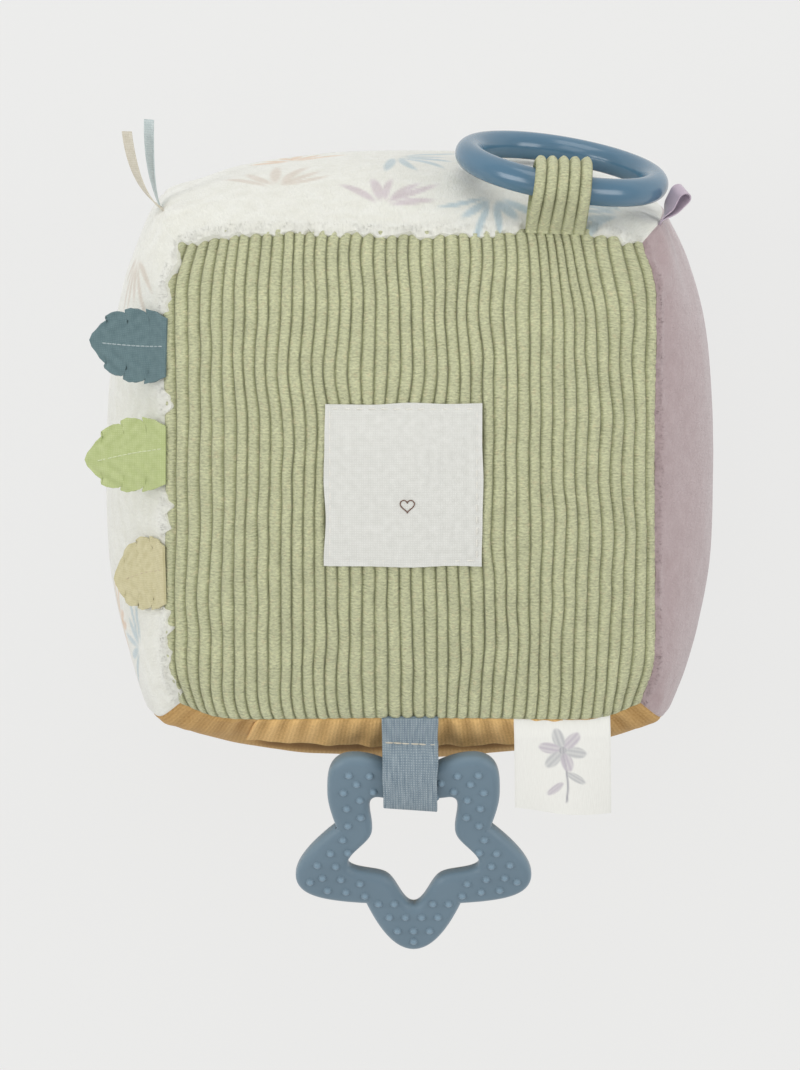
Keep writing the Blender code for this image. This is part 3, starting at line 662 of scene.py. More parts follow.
def makeOchre(name, colour, shade):
    # fine-wale cotton corduroy: matte, with thin ribs about 1 mm apart
    finish, tree = startFinish(name, 0.95, 0.15, sheen=0.05)
    cloth = clothSpots(tree)
    ribs = bands(tree, scaled(tree, cloth, (1 / 1.15, 0.15, 1)), 0.6, 2.0)
    fuzz = noise(tree, scaled(tree, cloth, (1.6, 0.9, 1)), 1.0, 3.0)
    gatherAndShade = fromMap(tree, "gatherAndShade")
    heights = combine(tree, "MULTIPLY_ADD", ribs, 0.2, fuzz)
    # painted shade: the gathers' troughs are painted towards the darker tone
    share = spread(tree, combine(tree, "MULTIPLY_ADD", gatherAndShade, 0.35, heights), 0.2, 0.95)
    body = mixColours(tree, share, shade, colour)
    # painted shadow: cloth far below zero on the map is painted dark brown, as the shade in the
    # gap under the flap's hem
    shaded = mixColours(tree, spread(tree, gatherAndShade, -0.8, -2.3), body, "#7a5930")
    return dress(finish, shaded, heights, 0.6, 0.0003)


def makeThread(name, colour, shade):
    # polyester sewing thread: twisted, slightly shiny
    finish, tree = startFinish(name, 0.55, 0.35)
    plies = noise(tree, bodySpots(tree), 2500.0, 1.0)
    return dress(finish, mixColours(tree, plies, shade, colour), plies, 0.5, 0.0001)


def makeWadding(name, colour, shade):
    # polyester wadding: matte white fluff
    finish, tree = startFinish(name, 1.0)
    fluff = noise(tree, bodySpots(tree), 260.0, 5.0)
    return dress(finish, mixColours(tree, fluff, shade, colour), fluff, 0.8, 0.002)


def makePlastic(name, colour, grain, depth, roughness, paintedLight=0.0, **values):
    # moulded plastic: even colour, faint flow marks in the gloss; painted light from a map: spots
    # and edges painted lighter as highlights, darker as shade
    finish, tree = startFinish(name, roughness, **values)
    spots = bodySpots(tree)
    level = spread(tree, noise(tree, spots, 60.0, 2.0), 0.3, 0.7, 0.96, 1.04)
    if paintedLight:
        level = combine(tree, "MULTIPLY_ADD", fromMap(tree, "paintedLight"), paintedLight, level)
    toned = scaleColour(tree, toLinear(colour)[:3], level)
    return dress(finish, toned, noise(tree, spots, grain, 2.0), 0.4, depth)


def makeSatin(name, colour, shade, gloss, printed=False):
    # polyester satin: smooth floats across the width that shine softly
    finish, tree = startFinish(name, gloss, 0.4, anisotropic=0.5, sheen=0.1)
    threads = noise(tree, scaled(tree, clothSpots(tree), (0.35, 3.2, 1)), 1.0, 2.0)
    body = mixColours(tree, threads, shade, colour)
    if printed:
        body = mixColours(tree, 1.0, body, fromMap(tree, "print", "Color"), "MULTIPLY")
    return dress(finish, body, threads, 0.35, 0.0001)


corduroyGreen = makeCorduroy("sage wide-wale corduroy", "#cdcfa8", "#a8ab7e", "#d6cba4")
plushMauve = makePlush("mauve plush", "#b19e9f", "#ece6e6")
plushPrinted = makePlush("printed white plush", None, "#f2f1ec")
plushWhite = makePlush("white plush", "#e5e5dd", "#f2f1ec")
corduroyOchre = makeOchre("ochre needle corduroy", "#c9a46c", "#a6804b")
# painted light: the flap's copy of the same ochre corduroy is painted lighter, to make up for the
# little light that reaches the downward-facing flap
corduroyOchreFlapPaintedLighter = makeOchre("ochre needle corduroy, second layer", "#e5bd7f", "#bb955b")
wadding = makeWadding("polyester wadding", "#f4f3f1", "#dcdbd8")
labelCotton = makeWoven("plain-weave label cotton", "#e1e1dc", "#d0d0ca", 0.7, 0.6, 0.00012)
threadWhite = makeThread("off-white sewing thread", "#f1efe8", "#cfccc2")
threadBrown = makeThread("brown embroidery thread", "#7c5b4c", "#5a4036")
threadCream = makeThread("cream sewing thread", "#e6dfcf", "#b9b09c")
ringPlastic = makePlastic(
    "polished blue polypropylene", "#4d728a", 300.0, 0.00002, 0.19, index=1.66
)
# the star's silicone takes painted light: paler rounded edge and nub tops, darker nub skirts
starSilicone = makePlastic(
    "matte grey-blue silicone",
    "#697e8c",
    1600.0,
    0.00004,
    0.45,
    paintedLight=0.42,
    index=1.43,
    sheen=0.25,
    sheenRoughness=0.4,
)
chambray = makeWoven(
    "grey-blue cotton chambray", "#a9b5bb", "#6f808c", 0.8, 0.7, slubs=(1.3, 0.16)
)
satinWhite = makeSatin("cream-white satin ribbon", "#f1f1eb", "#e4e3dd", 0.45, printed=True)
satinMauve = makeSatin("mauve satin ribbon", "#c8bac6", "#ab9cab", 0.35)
print("finishes made")


# Corduroy face

front = {
    "waleCount": 42,
    "waleSteps": 8,
    "rows": 300,
    "waleHeight": 0.0012,
    "walePower": 0.85,
    "wobbleShare": 0.12,
    "tuftHeight": 0.00030,
    "tuftBow": 0.9,
    "groovePart": 0.50,
    "clothHalf": 75.4,
    # where cloth is dragged along the rows, how far round it and by how much
    "drags": ((0.74, 1.0, 0.16, 0.34, -0.062), (-0.86, 1.0, 0.16, 0.26, 0.022)),
    "wander": 0.0150,
    "wobble": 0.0040,
    "edgeFade": 0.0009,
}


def tuftSteps(phase):
    # how far each wale's tufts are out of step, in millimetres
    return np.modf(np.floor(phase) * 0.618)[0] * 8


def makeFront():
    columns = front["waleCount"] * front["waleSteps"]
    piece, across, along = addGrid(columns, front["rows"])
    nameIt(piece, "front_cloth", corduroyGreen)
    phase = (across + 1) / 2 * front["waleCount"]
    # cut wales roll in at the seams, and the ring's loop drags them to its root
    shift = front["wander"] * flatNoise(across * 3, along * 4, 0.9, 8)
    shift += front["wobble"] * flatNoise(across * 9, along * 7, 0.9, 18)
    for x, y, reachX, reachY, drag in front["drags"]:
        shift += drag * bell(across - x, reachX) * bell(along - y, reachY)
    warped = across + shift * np.minimum((1 - across**2) * 4, 1)
    hump = np.abs(np.sin(np.pi * phase))
    wale = hump ** front["walePower"]
    uneven = 1 + front["wobbleShare"] * flatNoise(phase * 0.9, along * 9, 1.0, 5)
    height = front["waleHeight"] * (wale * uneven - front["groovePart"])
    # the pile stands in short tufts across each wale, leaning a little to one side
    rows = along * front["clothHalf"] + front["tuftBow"] * hump
    height += front["tuftHeight"] * flatNoise(phase * 1.1, rows, 1.0, 9) * wale
    edge = edgeDistance(warped, along)
    base, normal = sewnSurface("front", warped, along)
    writePoints(piece, base + normal * (height * ramp(edge / front["edgeFade"]))[:, None])
    # painted shade: within about a millimetre of the seam the wales are painted towards the
    # grooves' darker tone
    tagPoints(piece, "wale", wale * (0.55 + 0.45 * ramp(edge / 0.0012)))
    tagPoints(piece, "tuftStep", tuftSteps(phase))
    mapCloth(piece, across * front["clothHalf"], along * front["clothHalf"])
    closeCloth(piece)
    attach(piece, "block")
    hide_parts("front_panel")


makeFront()
print("corduroy face made")


# Plush sides and back

plush = {
    "steps": 132,
    "backSteps": 90,
    "pileDepth": 0.0003,
    "puckerHeight": 0.0005,
    "puckerSize": 0.0065,
    "puckerReach": 0.012,
    "lipRise": 0.0023,
    "lipOver": 0.0019,
    "lipFrom": 0.955,
    "lipTuft": 0.0024,
    # where tabs are sewn in along the corduroy's seam
    "tabs": {
        "left": ((0.0270, 0.0490), (-0.0040, 0.0180), (-0.0405, -0.0185)),
        "upper": ((0.0345, 0.0535),),
        "right": (),
    },
}
dabs = {
    "ground": "#e5e5dd",
    "colours": ("#93b3c2", "#c9b9a8", "#bfadb8", "#9fb9c4", "#dba972", "#b3c0ac"),
    "count": 9,
    "strokes": 6,
    "fan": 0.42,
    "length": (0.014, 0.023),
    "width": (0.0026, 0.0042),
    "bend": 16,
    "strength": 0.6,
    "spots": {
        "upper": ((0.024, 0.060), (-0.038, 0.052), (-0.008, 0.064), (0.062, 0.066)),
        "left": ((-0.052, 0.058), (0.060, 0.050)),
    },
}
pile = {"count": 900, "reach": (0.0005, 0.035), "length": (0.0010, 0.0022), "width": 0.00017}


def puckers(across, along, seed):
    # short creases that run away from the seams
    u, v = across * block["halfWidth"], along * block["halfWidth"]
    rise = np.zeros_like(u)
    for (place, other, salt), side in product(((u, v, 0), (v, u, 20)), (-1, 1)):
        away = (1 - side * other / block["halfWidth"]) * block["halfWidth"]
        wave = flatNoise(place, away * 0.35, plush["puckerSize"], seed + salt + side)
        rise += wave * bell(away, plush["puckerReach"]) * ramp(away / 0.002)
    return rise * plush["puckerHeight"]


def paintDabs(face, across, along, seed):
    # generic print: loose sprays of curved strokes, each in one pale colour, faded into the pile
    colours = np.tile(np.array(toLinear(dabs["ground"])), (len(across), 1))
    rng = np.random.default_rng(seed)
    u, v = across * block["halfWidth"], along * block["halfDepth"]
    spots = list(dabs["spots"][face])
    spots += [tuple(rng.uniform((-0.066, -0.066), (0.066, 0.030))) for _ in range(dabs["count"])]
    for index, (x, y) in enumerate(spots):
        colour = np.array(toLinear(dabs["colours"][index % len(dabs["colours"])]))
        turn = rng.uniform(0, 2 * math.pi)
        for stroke in range(dabs["strokes"]):
            angle = turn + dabs["fan"] * (stroke - (dabs["strokes"] - 1) / 2) + rng.normal(0, 0.06)
            length = rng.uniform(*dabs["length"])
            width = rng.uniform(*dabs["width"])
            dx = u - x - 0.55 * length * math.cos(angle)
            dy = v - y - 0.55 * length * math.sin(angle)
            one = dx * math.cos(angle) + dy * math.sin(angle)
            bend = rng.uniform(-dabs["bend"], dabs["bend"]) * one * one
            two = dy * math.cos(angle) - dx * math.sin(angle) + bend
            inside = 1 - np.sqrt((2 * one / length) ** 2 + (2 * two / width) ** 2)
            share = dabs["strength"] * ramp(inside * 2)
            colours += (colour - colours) * share[:, None]
    colours[:, 3] = 1
    return colours


def pileLip(face, across, along, seed, share):
    # the pile swells over the corduroy's seam in uneven tufts, but not where a tab is sewn in
    inward = {"left": (1, 0, 0), "right": (-1, 0, 0), "upper": (0, -1, 0)}[face]
    place = across * block["halfWidth"]
    near = ramp((along - plush["lipFrom"]) / (1 - plush["lipFrom"]))
    near = near * ramp((1 - np.abs(across)) / 0.05) * share
    for low, high in plush["tabs"][face]:
        near *= 1 - ramp((place - low) / 0.002 + 1) * ramp((high - place) / 0.002 + 1)
    tuft = 0.55 + 0.6 * flatNoise(place, 0 * place, plush["lipTuft"], seed + 7)
    over = (plush["lipOver"] * tuft * near**2)[:, None] * np.array(inward, dtype=float)
    over[:, 2] += plush["lipRise"] * near
    return over


def makePlushSide(name, face, finish, slot, seed, lip):
    steps = plush["steps"] if lip else plush["backSteps"]
    piece, across, along = addGrid(steps * 2 if lip else steps, steps)
    nameIt(piece, name, finish)
    relief = puckers(across, along, seed) - plush["pileDepth"]
    points = sewnSurface(face, across, along, relief)[0]
    if lip:
        points += pileLip(face, across, along, seed, lip)
    writePoints(piece, points)
    mapCloth(piece, across * block["clothHalf"], along * block["clothHalf"])
    if face in dabs["spots"]:
        tintPoints(piece, paintDabs(face, across, along, seed))
    closeCloth(piece)
    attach(piece, "block")
    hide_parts(face + "_panel")


def growPile(name, face, finish, slot, seed, lip):
    # strands as thin three-sided needles that lean over the seam, so that it looks furry
    rng = np.random.default_rng(seed)
    count = pile["count"]
    across = rng.uniform(-0.995, 0.995, (2, count))[0]
    along = 1 - rng.uniform(*pile["reach"], count)
    relief = puckers(across, along, seed) - plush["pileDepth"] - 0.0002
    root, normal = sewnSurface(face, across, along, relief)
    root += pileLip(face, across, along, seed, lip)
    # none grows through the tabs that are sewn in there
    place = across * block["halfWidth"]
    for low, high in plush["tabs"][face]:
        under = (place > low) & (place < high) & (along > plush["lipFrom"])
        root[under] -= normal[under] * 0.004
    # these draws aren't used: they only keep the later ones as they are
    rng.normal(size=count)
    rng.uniform(size=(2, count))
    side = unit(np.cross(normal, np.array([0.0, 0.0, 1.0])))
    heading = np.array([0.0, 0.0, 1.0]) - normal * rng.uniform(-0.9, 0.8, count)[:, None]
    heading = unit(heading + side * rng.normal(0, 0.35, count)[:, None])
    tip = root + heading * rng.uniform(*pile["length"], count)[:, None]
    one = unit(np.cross(heading, rng.normal(0, 1, (count, 3)))) * pile["width"] / 2
    two = np.cross(heading, one)
    corners = [one, -0.5 * one + 0.866 * two, -0.5 * one - 0.866 * two]
    points = np.stack([root + corner for corner in corners] + [tip], axis=1).reshape(-1, 3)
    points[:, 2] = np.maximum(points[:, 2], 0.0002)
    sides = np.array([(0, 1, 3), (1, 2, 3), (2, 0, 3)])
    faces = (np.arange(count)[:, None, None] * 4 + sides).reshape(-1, 3)
    mesh = bpy.data.meshes.new(name)
    mesh.from_pydata(points.tolist(), [], faces.tolist())
    piece = nameIt(linkNew(name, mesh), name, finish)
    smoothShade(piece)
    # shaded almost as the cloth under them, so that the fur looks soft
    facing = normalsOf(lambda a, b: sewnSurface(face, a, b)[0], across, along, back=0)
    facing += np.array([0.0, 0.0, 0.7])
    roundness = np.stack([unit(corner) for corner in corners] + [heading], axis=1)
    soft = np.repeat(facing, 4, axis=0) * 0.8 + roundness.reshape(-1, 3) * 0.2
    mesh.normals_split_custom_set_from_vertices(unit(soft).tolist())
    if face in dabs["spots"]:
        tintPoints(piece, np.repeat(paintDabs(face, across, along, seed), 4, axis=0))
    half = block["clothHalf"]
    mapCloth(piece, np.repeat(across * half, 4), np.repeat(along * half, 4))
    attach(piece, "block")


plushSides = (
    ("left", plushPrinted, "white_plush", 11, 1.0),
    ("upper", plushPrinted, "white_plush", 12, 1.0),
    ("right", plushMauve, "mauve_plush", 13, 0.5),
)
for sideName, *sideValues in plushSides:
    makePlushSide(sideName + "_cloth", sideName, *sideValues)
makePlushSide("back_cloth", "back", plushWhite, "white_plush", 14, 0.0)
print("plush sides made")
for sideName, *sideValues in plushSides:
    growPile(sideName + "_pile", sideName, *sideValues)
print("pile grown")


# Ochre lower side with its second layer

lower = {
    "slack": 0.0010,
    "columns": 200,
    "rows": 132,
    "gatherSize": 0.0060,
    "gatherHeight": 0.0011,
    "gatherReach": 0.020,
    # shade under the flap's hem: where it starts and ends past the hem, and over how much
    "shadeStart": (-0.0060, 0.0040),
    "shadeEnd": (0.0160, 0.0095),
    "shadeDepth": 2.4,
}
flap = {
    "halfLength": 0.0470,
    "reach": 0.0192,
    "thickness": 0.0013,
    "lift": 0.0016,
    "gatherHeight": 0.0006,
    "scallop": 0.0067,
    "lipWander": 0.0014,
    "lipRoom": 0.0008,
    "waves": 7,
    "recessRamp": 0.0120,
    "fitGap": 0.0003,
    "columns": 190,
    "rows": 26,
}
flap["lip"] = 1 - flap["reach"] / block["halfDepth"]


def flapRecess(across, along):
    rampShare = flap["recessRamp"] / block["halfDepth"]
    endShare = flap["halfLength"] / block["halfWidth"]
    room = (flap["lipWander"] + flap["lipRoom"]) / block["halfDepth"]
    pastLip = (flap["lip"] - room - along) / rampShare
    pastEnd = (np.abs(across) - endShare) / rampShare
    return (flap["thickness"] + flap["fitGap"]) * ramp(1 - pastLip) * ramp(1 - pastEnd)


def gatherWave(across, along, seed=31):
    x = across * block["halfWidth"]
    away = (1 - along) * block["halfDepth"]
    wander = flatNoise(x, away, 0.02, seed) * 0.35
    wave = np.sin(2 * np.pi * (x / lower["gatherSize"] + wander))
    return wave * (0.6 + 0.4 * flatNoise(x, away * 0.3, 0.012, seed + 1))


def lowerSlack(across, along):
    return lower["slack"] * (1 - across**2) * (1 - along**4)


def makeLower():
    piece, across, along = addGrid(lower["columns"], lower["rows"])
    nameIt(piece, "lower_cloth", corduroyOchre)
    near = bell((1 - along) * block["halfDepth"], lower["gatherReach"])
    wave = gatherWave(across, along)
    relief = lower["gatherHeight"] * (wave - 1) * near * 0.5 - flapRecess(across, along)
    relief += puckers(across, along, 33) * 0.6 - lowerSlack(across, along)
    writePoints(piece, sewnSurface("lower", across, along, relief)[0])
    # painted shadow: the layer under the flap's hem is painted darker, as it lies in its shade;
    # the gathers' troughs are painted in shade too
    hem = (flap["lip"] - along) * block["halfDepth"]
    (start, startRamp), (end, endRamp) = lower["shadeStart"], lower["shadeEnd"]
    paintedHemShade = ramp((hem - start) / startRamp) * ramp((end - hem) / endRamp)
    paintedHemShade *= ramp((1 - np.abs(across) * block["halfWidth"] / flap["halfLength"]) * 6)
    tagPoints(piece, "gatherAndShade", wave * near - lower["shadeDepth"] * paintedHemShade)
    mapCloth(piece, across * block["clothHalf"], along * block["clothHalf"])
    closeCloth(piece)
    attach(piece, "block")
    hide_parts("lower_panel")


def makeFlap():
    piece, u, v = addGrid(flap["columns"], flap["rows"])
    nameIt(piece, "lower_flap_cloth", corduroyOchreFlapPaintedLighter)
    across = u * flap["halfLength"] / block["halfWidth"]
    # the lip waves and is scalloped, and lies flat at both ends
    fade = 1 - u**2
    wave = np.sin(np.pi * flap["waves"] * u)
    scallop = np.sin(2 * np.pi * u * flap["halfLength"] / flap["scallop"])
    wander = flap["lipWander"] / block["halfDepth"]
    lip = flap["lip"] + fade * (wave + 0.5 * scallop) * wander
    along = lip + (1 - lip) * (v + 1) / 2
    towards = (1 - along) / (1 - lip)
    near = ramp(1 - towards * 0.7)
    gatherAndShade = gatherWave(across, along) * near
    rise = flap["lift"] * fade * towards**2 * ((1 + wave) / 2 + 0.2 * scallop)
    rise += flap["gatherHeight"] * gatherAndShade * ramp((1 - along) * 30)
    rise -= lowerSlack(across, along) + 0.0002
    base = cushionPoints("lower", across, along)
    normal = outwardNormals("lower", across, along)
    dip = rollIn(base, (1 - along) * block["halfDepth"])
    writePoints(piece, base + normal * rise[:, None] + dip)
    # the gathers go to the map, where the finish paints their troughs in shade
    tagPoints(piece, "gatherAndShade", gatherAndShade)
    mapCloth(piece, across * block["clothHalf"], along * block["clothHalf"])
    turnOutwards(piece)
    thicken(piece, flap["thickness"] * 0.85, bevel=0.0004)
    smoothShade(piece)
    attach(piece, "block")
    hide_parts("lower_flap")


makeLower()
makeFlap()
print("ochre side made")


# Stuffing inside the cover

filling = {"inset": 0.0075, "steps": 20, "weld": 0.00005}


def makeFilling():
    sides = []
    for face in ("front", "back", "upper", "lower", "left", "right"):
        side, across, along = addGrid(filling["steps"], filling["steps"])
        writePoints(side, cushionPoints(face, across, along, filling["inset"]))
        sides.append(side)
    joinTo(sides[0], sides[1:])
    piece = nameIt(sides[0], "fill_wadding", wadding)
    editAll(piece, bpy.ops.mesh.remove_doubles, threshold=filling["weld"])
    faceOutwards(piece)
    smoothShade(piece)
    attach(piece, "block")
    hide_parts("fill_core")


makeFilling()
print("stuffing made")


# Cotton label with its running stitch and a small plain heart

label = {
    "width": 0.0473,
    "height": 0.0488,
    "centre": (-0.0021, -0.0013),
    "top": 0.00105,
    "thickness": 0.00055,
    "steps": 72,
    "ripple": 0.00012,
    "hemWidth": 0.0035,
    "hemHeight": 0.00018,
    "stitchDip": 0.00022,
    "wander": 0.00035,
    "stitchInset": 0.0016,
    "stitchPitch": 0.0036,
    "stitchLength": 0.0026,
    "stitchRadius": 0.00021,
    "heartPlace": (-0.0009, -0.0077),
    "heartSize": 0.0043,
    "heartThread": 0.00017,
}


def labelSurface(x, y, lift):
    reach = block["halfWidth"] + block["faceSeamBow"]
    across, along = np.asarray(x) / reach, np.asarray(y) / reach
    base, normal = sewnSurface("front", across, along)
    ripple = label["ripple"] * np.sin(np.pi * (across + 1) * front["waleCount"])
    return base + normal * (ripple + lift)[:, None], normal


def addStitch(length, radius):
    clearSelection()
    bpy.ops.mesh.primitive_uv_sphere_add(segments=8, ring_count=6, radius=1.0)
    stitch = bpy.context.object
    x, y, z = readPoints(stitch).T
    # a rounded bar along X, pulled into the cloth at both ends
    ends = np.sign(z) * np.abs(z) ** 0.5
    sunk = 0.8 * np.abs(ends) ** 4
    writePoints(stitch, np.stack([ends * length / 2, x * radius, (y - sunk) * radius], axis=1))
    faceOutwards(stitch)
    return stitch


def stitchPlace(point, heading, normal):
    # flat on the cloth, as near to its heading as that lets it
    up = Vector(normal).normalized()
    aside = up.cross(Vector(heading).normalized()).normalized()
    return frameAt(Vector(point), aside.cross(up), aside)


def makeLabel():
    piece, u, v = addGrid(label["steps"], label["steps"])
    nameIt(piece, "label_cloth", labelCotton)
    x = label["centre"][0] + u * label["width"] / 2
    y = label["centre"][1] + v * label["height"] / 2
    inner = np.minimum((1 - np.abs(u)) * label["width"], (1 - np.abs(v)) * label["height"]) / 2
    lift = label["top"] + label["hemHeight"] * ramp((label["hemWidth"] - inner) / 0.0010)
    lift -= label["stitchDip"] * bell(inner - label["stitchInset"], 0.0006)
    lift += 0.0002 * flatNoise(x, y, 0.011, 41)
    x = x + label["wander"] * flatNoise(x, y, 0.012, 42)
    y = y + label["wander"] * flatNoise(x, y, 0.012, 43)
    writePoints(piece, labelSurface(x, y, lift)[0])
    mapCloth(piece, x * 1000, y * 1000)
    turnOutwards(piece)
    thicken(piece, label["thickness"])
    smoothShade(piece, 50)
    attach(piece, "block")
    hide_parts("label_patch")


def makeLabelStitches():
    places = []
    halfX = label["width"] / 2 - label["stitchInset"]
    halfY = label["height"] / 2 - label["stitchInset"]
    for half, other, turned in ((halfX, halfY, False), (halfY, halfX, True)):
        count = round(2 * half / label["stitchPitch"])
        for side, index in product((-1, 1), range(count)):
            run = -half + (index + 0.5) * 2 * half / count
            dx, dy = (side * other, run) if turned else (run, side * other)
            x, y = label["centre"][0] + dx, label["centre"][1] + dy
            points, normal = labelSurface([x], [y], label["top"])
            heading = (0, 1, 0) if turned else (1, 0, 0)
            places.append(stitchPlace(points[0], heading, normal[0]))
    stitch = addStitch(label["stitchLength"], label["stitchRadius"])
    piece = copyEach("label_stitches", stitch, places, threadWhite)
    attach(piece, "block")


def makeHeart():
    # plain heart outline as a line of embroidery
    turn = np.linspace(0, 2 * np.pi, 41)[:-1]
    hx = 16 * np.sin(turn) ** 3
    hy = 13 * np.cos(turn) - 5 * np.cos(2 * turn) - 2 * np.cos(3 * turn) - np.cos(4 * turn)
    scale = label["heartSize"] / 32
    x, y = label["heartPlace"][0] + hx * scale, label["heartPlace"][1] + (hy + 2.5) * scale
    points = labelSurface(x, y, label["top"] + 0.0001)[0]
    settings = {"bevel_depth": label["heartThread"], "bevel_resolution": 2}
    piece = curvePiece("label_heart", [points], threadBrown, dimensions="3D", **settings)
    smoothShade(piece)
    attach(piece, "block")


makeLabel()
makeLabelStitches()
makeHeart()
print("label made")


# Where the hung pieces are sewn in


def frontSeam(side, place):
    # a sewn-in piece starts where its solid does
    share = place / block["halfWidth"]
    across, along = {"upper": (share, 1.0), "lower": (share, -1.0), "left": (-1.0, share)}[side]
    return Vector(cushionPoints("front", across, along, sewn=False)[0])


def tabAxes(side, place, width, droopAngle):
    seam = frontSeam(side, place + width / 2) - frontSeam(side, place - width / 2)
    hinge = seam.normalized()
    level = hinge.cross(Vector((0, 0, 1))).normalized()
    away = frontSeam(side, place)
    if level.x * away.x + level.y * away.y < 0:
        level = -level
    up = level.cross(hinge)
    if up.z < 0:
        up = -up
    droop = math.radians(droopAngle)
    return level * math.cos(droop) - up * math.sin(droop), hinge


def loopPath(start, reach, radius, legSteps, roundSteps):
    # closed drop: from the sewn point, round the end and back
    first = math.pi - math.acos(radius / (reach - start))
    turns = np.linspace(-first, first, roundSteps + 1)
    arc = np.stack([reach + radius * np.cos(turns), radius * np.sin(turns)], axis=1)
    leg = np.linspace((start, 0.0), arc[0], legSteps + 1)[:-1]
    return np.concatenate([leg, arc, leg[::-1] * (1, -1)])


def sweepPath(path, width, acrossSteps):
    # sheet along a path in X and Y, running across Z; returns it with its grid shares
    piece, u, v = addGrid(len(path) - 1, acrossSteps)
    index = np.rint((u + 1) / 2 * (len(path) - 1)).astype(int)
    points = np.stack([path[index, 0], path[index, 1], v * width / 2], axis=1)
    steps = np.linalg.norm(np.diff(path, axis=0), axis=1)
    return piece, points, v, np.concatenate([[0], np.cumsum(steps)])[index]


# Corduroy loop and the ring that it holds

ringLoop = {
    "seamX": 0.0440,
    "start": -0.0015,
    "reach": 0.0146,
    "slack": 0.0012,
    "cloth": 0.0024,
    "width": 0.0182,
    "topWidth": 0.0172,
    "rise": 15.0,
    "lean": 4.0,
    "wales": 5,
    "waleHeight": 0.0014,
    "walePower": 0.8,
    "fray": 0.00030,
    "pathSteps": (12, 60),
    "acrossSteps": 60,
}
ring = {
    "major": 0.02895,
    "tube": 0.00430,
    "roll": 9.6,
    "lean": 13.4,
    "hang": 4.1,
    "sag": 0.0008,
    "steps": (160, 36),
}


def loopPlace():
    width, rise = ringLoop["width"], ringLoop["rise"]
    outward, hinge = tabAxes("upper", ringLoop["seamX"], width, -rise)
    return frontSeam("upper", ringLoop["seamX"]), outward, hinge.cross(outward)


def makeRing():
    root, outward, normal = loopPlace()
    lean = math.radians(ringLoop["lean"])
    held = outward * math.cos(lean) + outward.cross(normal) * math.sin(lean)
    hold = root + held * (ringLoop["reach"] - ring["sag"])
    roll, lean, hang = (math.radians(ring[name]) for name in ("roll", "lean", "hang"))
    up = Vector((0, math.cos(hang), -math.sin(hang)))
    down = Vector((0, -math.sin(hang), -math.cos(hang)))
    along = Vector((math.cos(roll), 0, 0)) - up * math.sin(roll)
    aside = Vector((math.sin(roll), 0, 0)) + up * math.cos(roll)
    across = down * math.cos(lean) + aside * math.sin(lean)
    clearSelection()
    bpy.ops.mesh.primitive_torus_add(
        major_radius=ring["major"],
        minor_radius=ring["tube"],
        major_segments=ring["steps"][0],
        minor_segments=ring["steps"][1],
    )
    piece = nameIt(bpy.context.object, "teething_ring_gloss", ringPlastic)
    shift = Matrix.Translation((ring["major"], 0, 0))
    piece.data.transform(frameAt(hold, across, along) @ shift)
    smoothShade(piece)
    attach(piece, "ring_body")
    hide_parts("teething_ring")


def makeRingLoop():
    radius = ring["tube"] + ringLoop["slack"] + ringLoop["cloth"]
    path = loopPath(ringLoop["start"], ringLoop["reach"], radius, *ringLoop["pathSteps"])
    piece, points, v, run = sweepPath(path, ringLoop["width"], ringLoop["acrossSteps"])
    nameIt(piece, "ring_loop_cloth", corduroyGreen)
    turn = np.pi * ringLoop["wales"] * (v + 1) / 2
    wale = np.abs(np.sin(turn)) ** ringLoop["walePower"]
    away = unit(points * np.array([1, 1, 0]) - np.array([ringLoop["reach"], 0, 0]))
    grow = ramp((points[:, 0] + 0.001) / 0.006)
    points += away * (ringLoop["waleHeight"] * (wale - 0.5) * grow)[:, None]
    narrow = ramp(points[:, 0] / (ringLoop["reach"] + radius))
    points[:, 2] *= 1 - (1 - ringLoop["topWidth"] / ringLoop["width"]) * narrow
    # the tufts fray the loop's surface, and it hangs a little askew
    fray = flatNoise(turn * 1.3, run * 1000, 1.0, 47)
    points += away * (ringLoop["fray"] * fray * wale * grow)[:, None]
    points[:, 2] += math.tan(math.radians(ringLoop["lean"])) * np.maximum(points[:, 0], 0)
    writePoints(piece, points)
    tagPoints(piece, "wale", wale)
    tagPoints(piece, "tuftStep", tuftSteps(turn / np.pi))
    mapCloth(piece, v * 9.1, run * 1000)
    root, outward, normal = loopPlace()
    piece.data.transform(frameAt(root, outward, normal))
    turnOutwards(piece, root + outward * ringLoop["reach"])
    thicken(piece, ringLoop["cloth"] - 0.0004, bevel=0.0005)
    smoothShade(piece)
    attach(piece, "ring_loop_body")
    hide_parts("ring_loop")


makeRing()
makeRingLoop()
print("ring and its loop made")


# Star teether

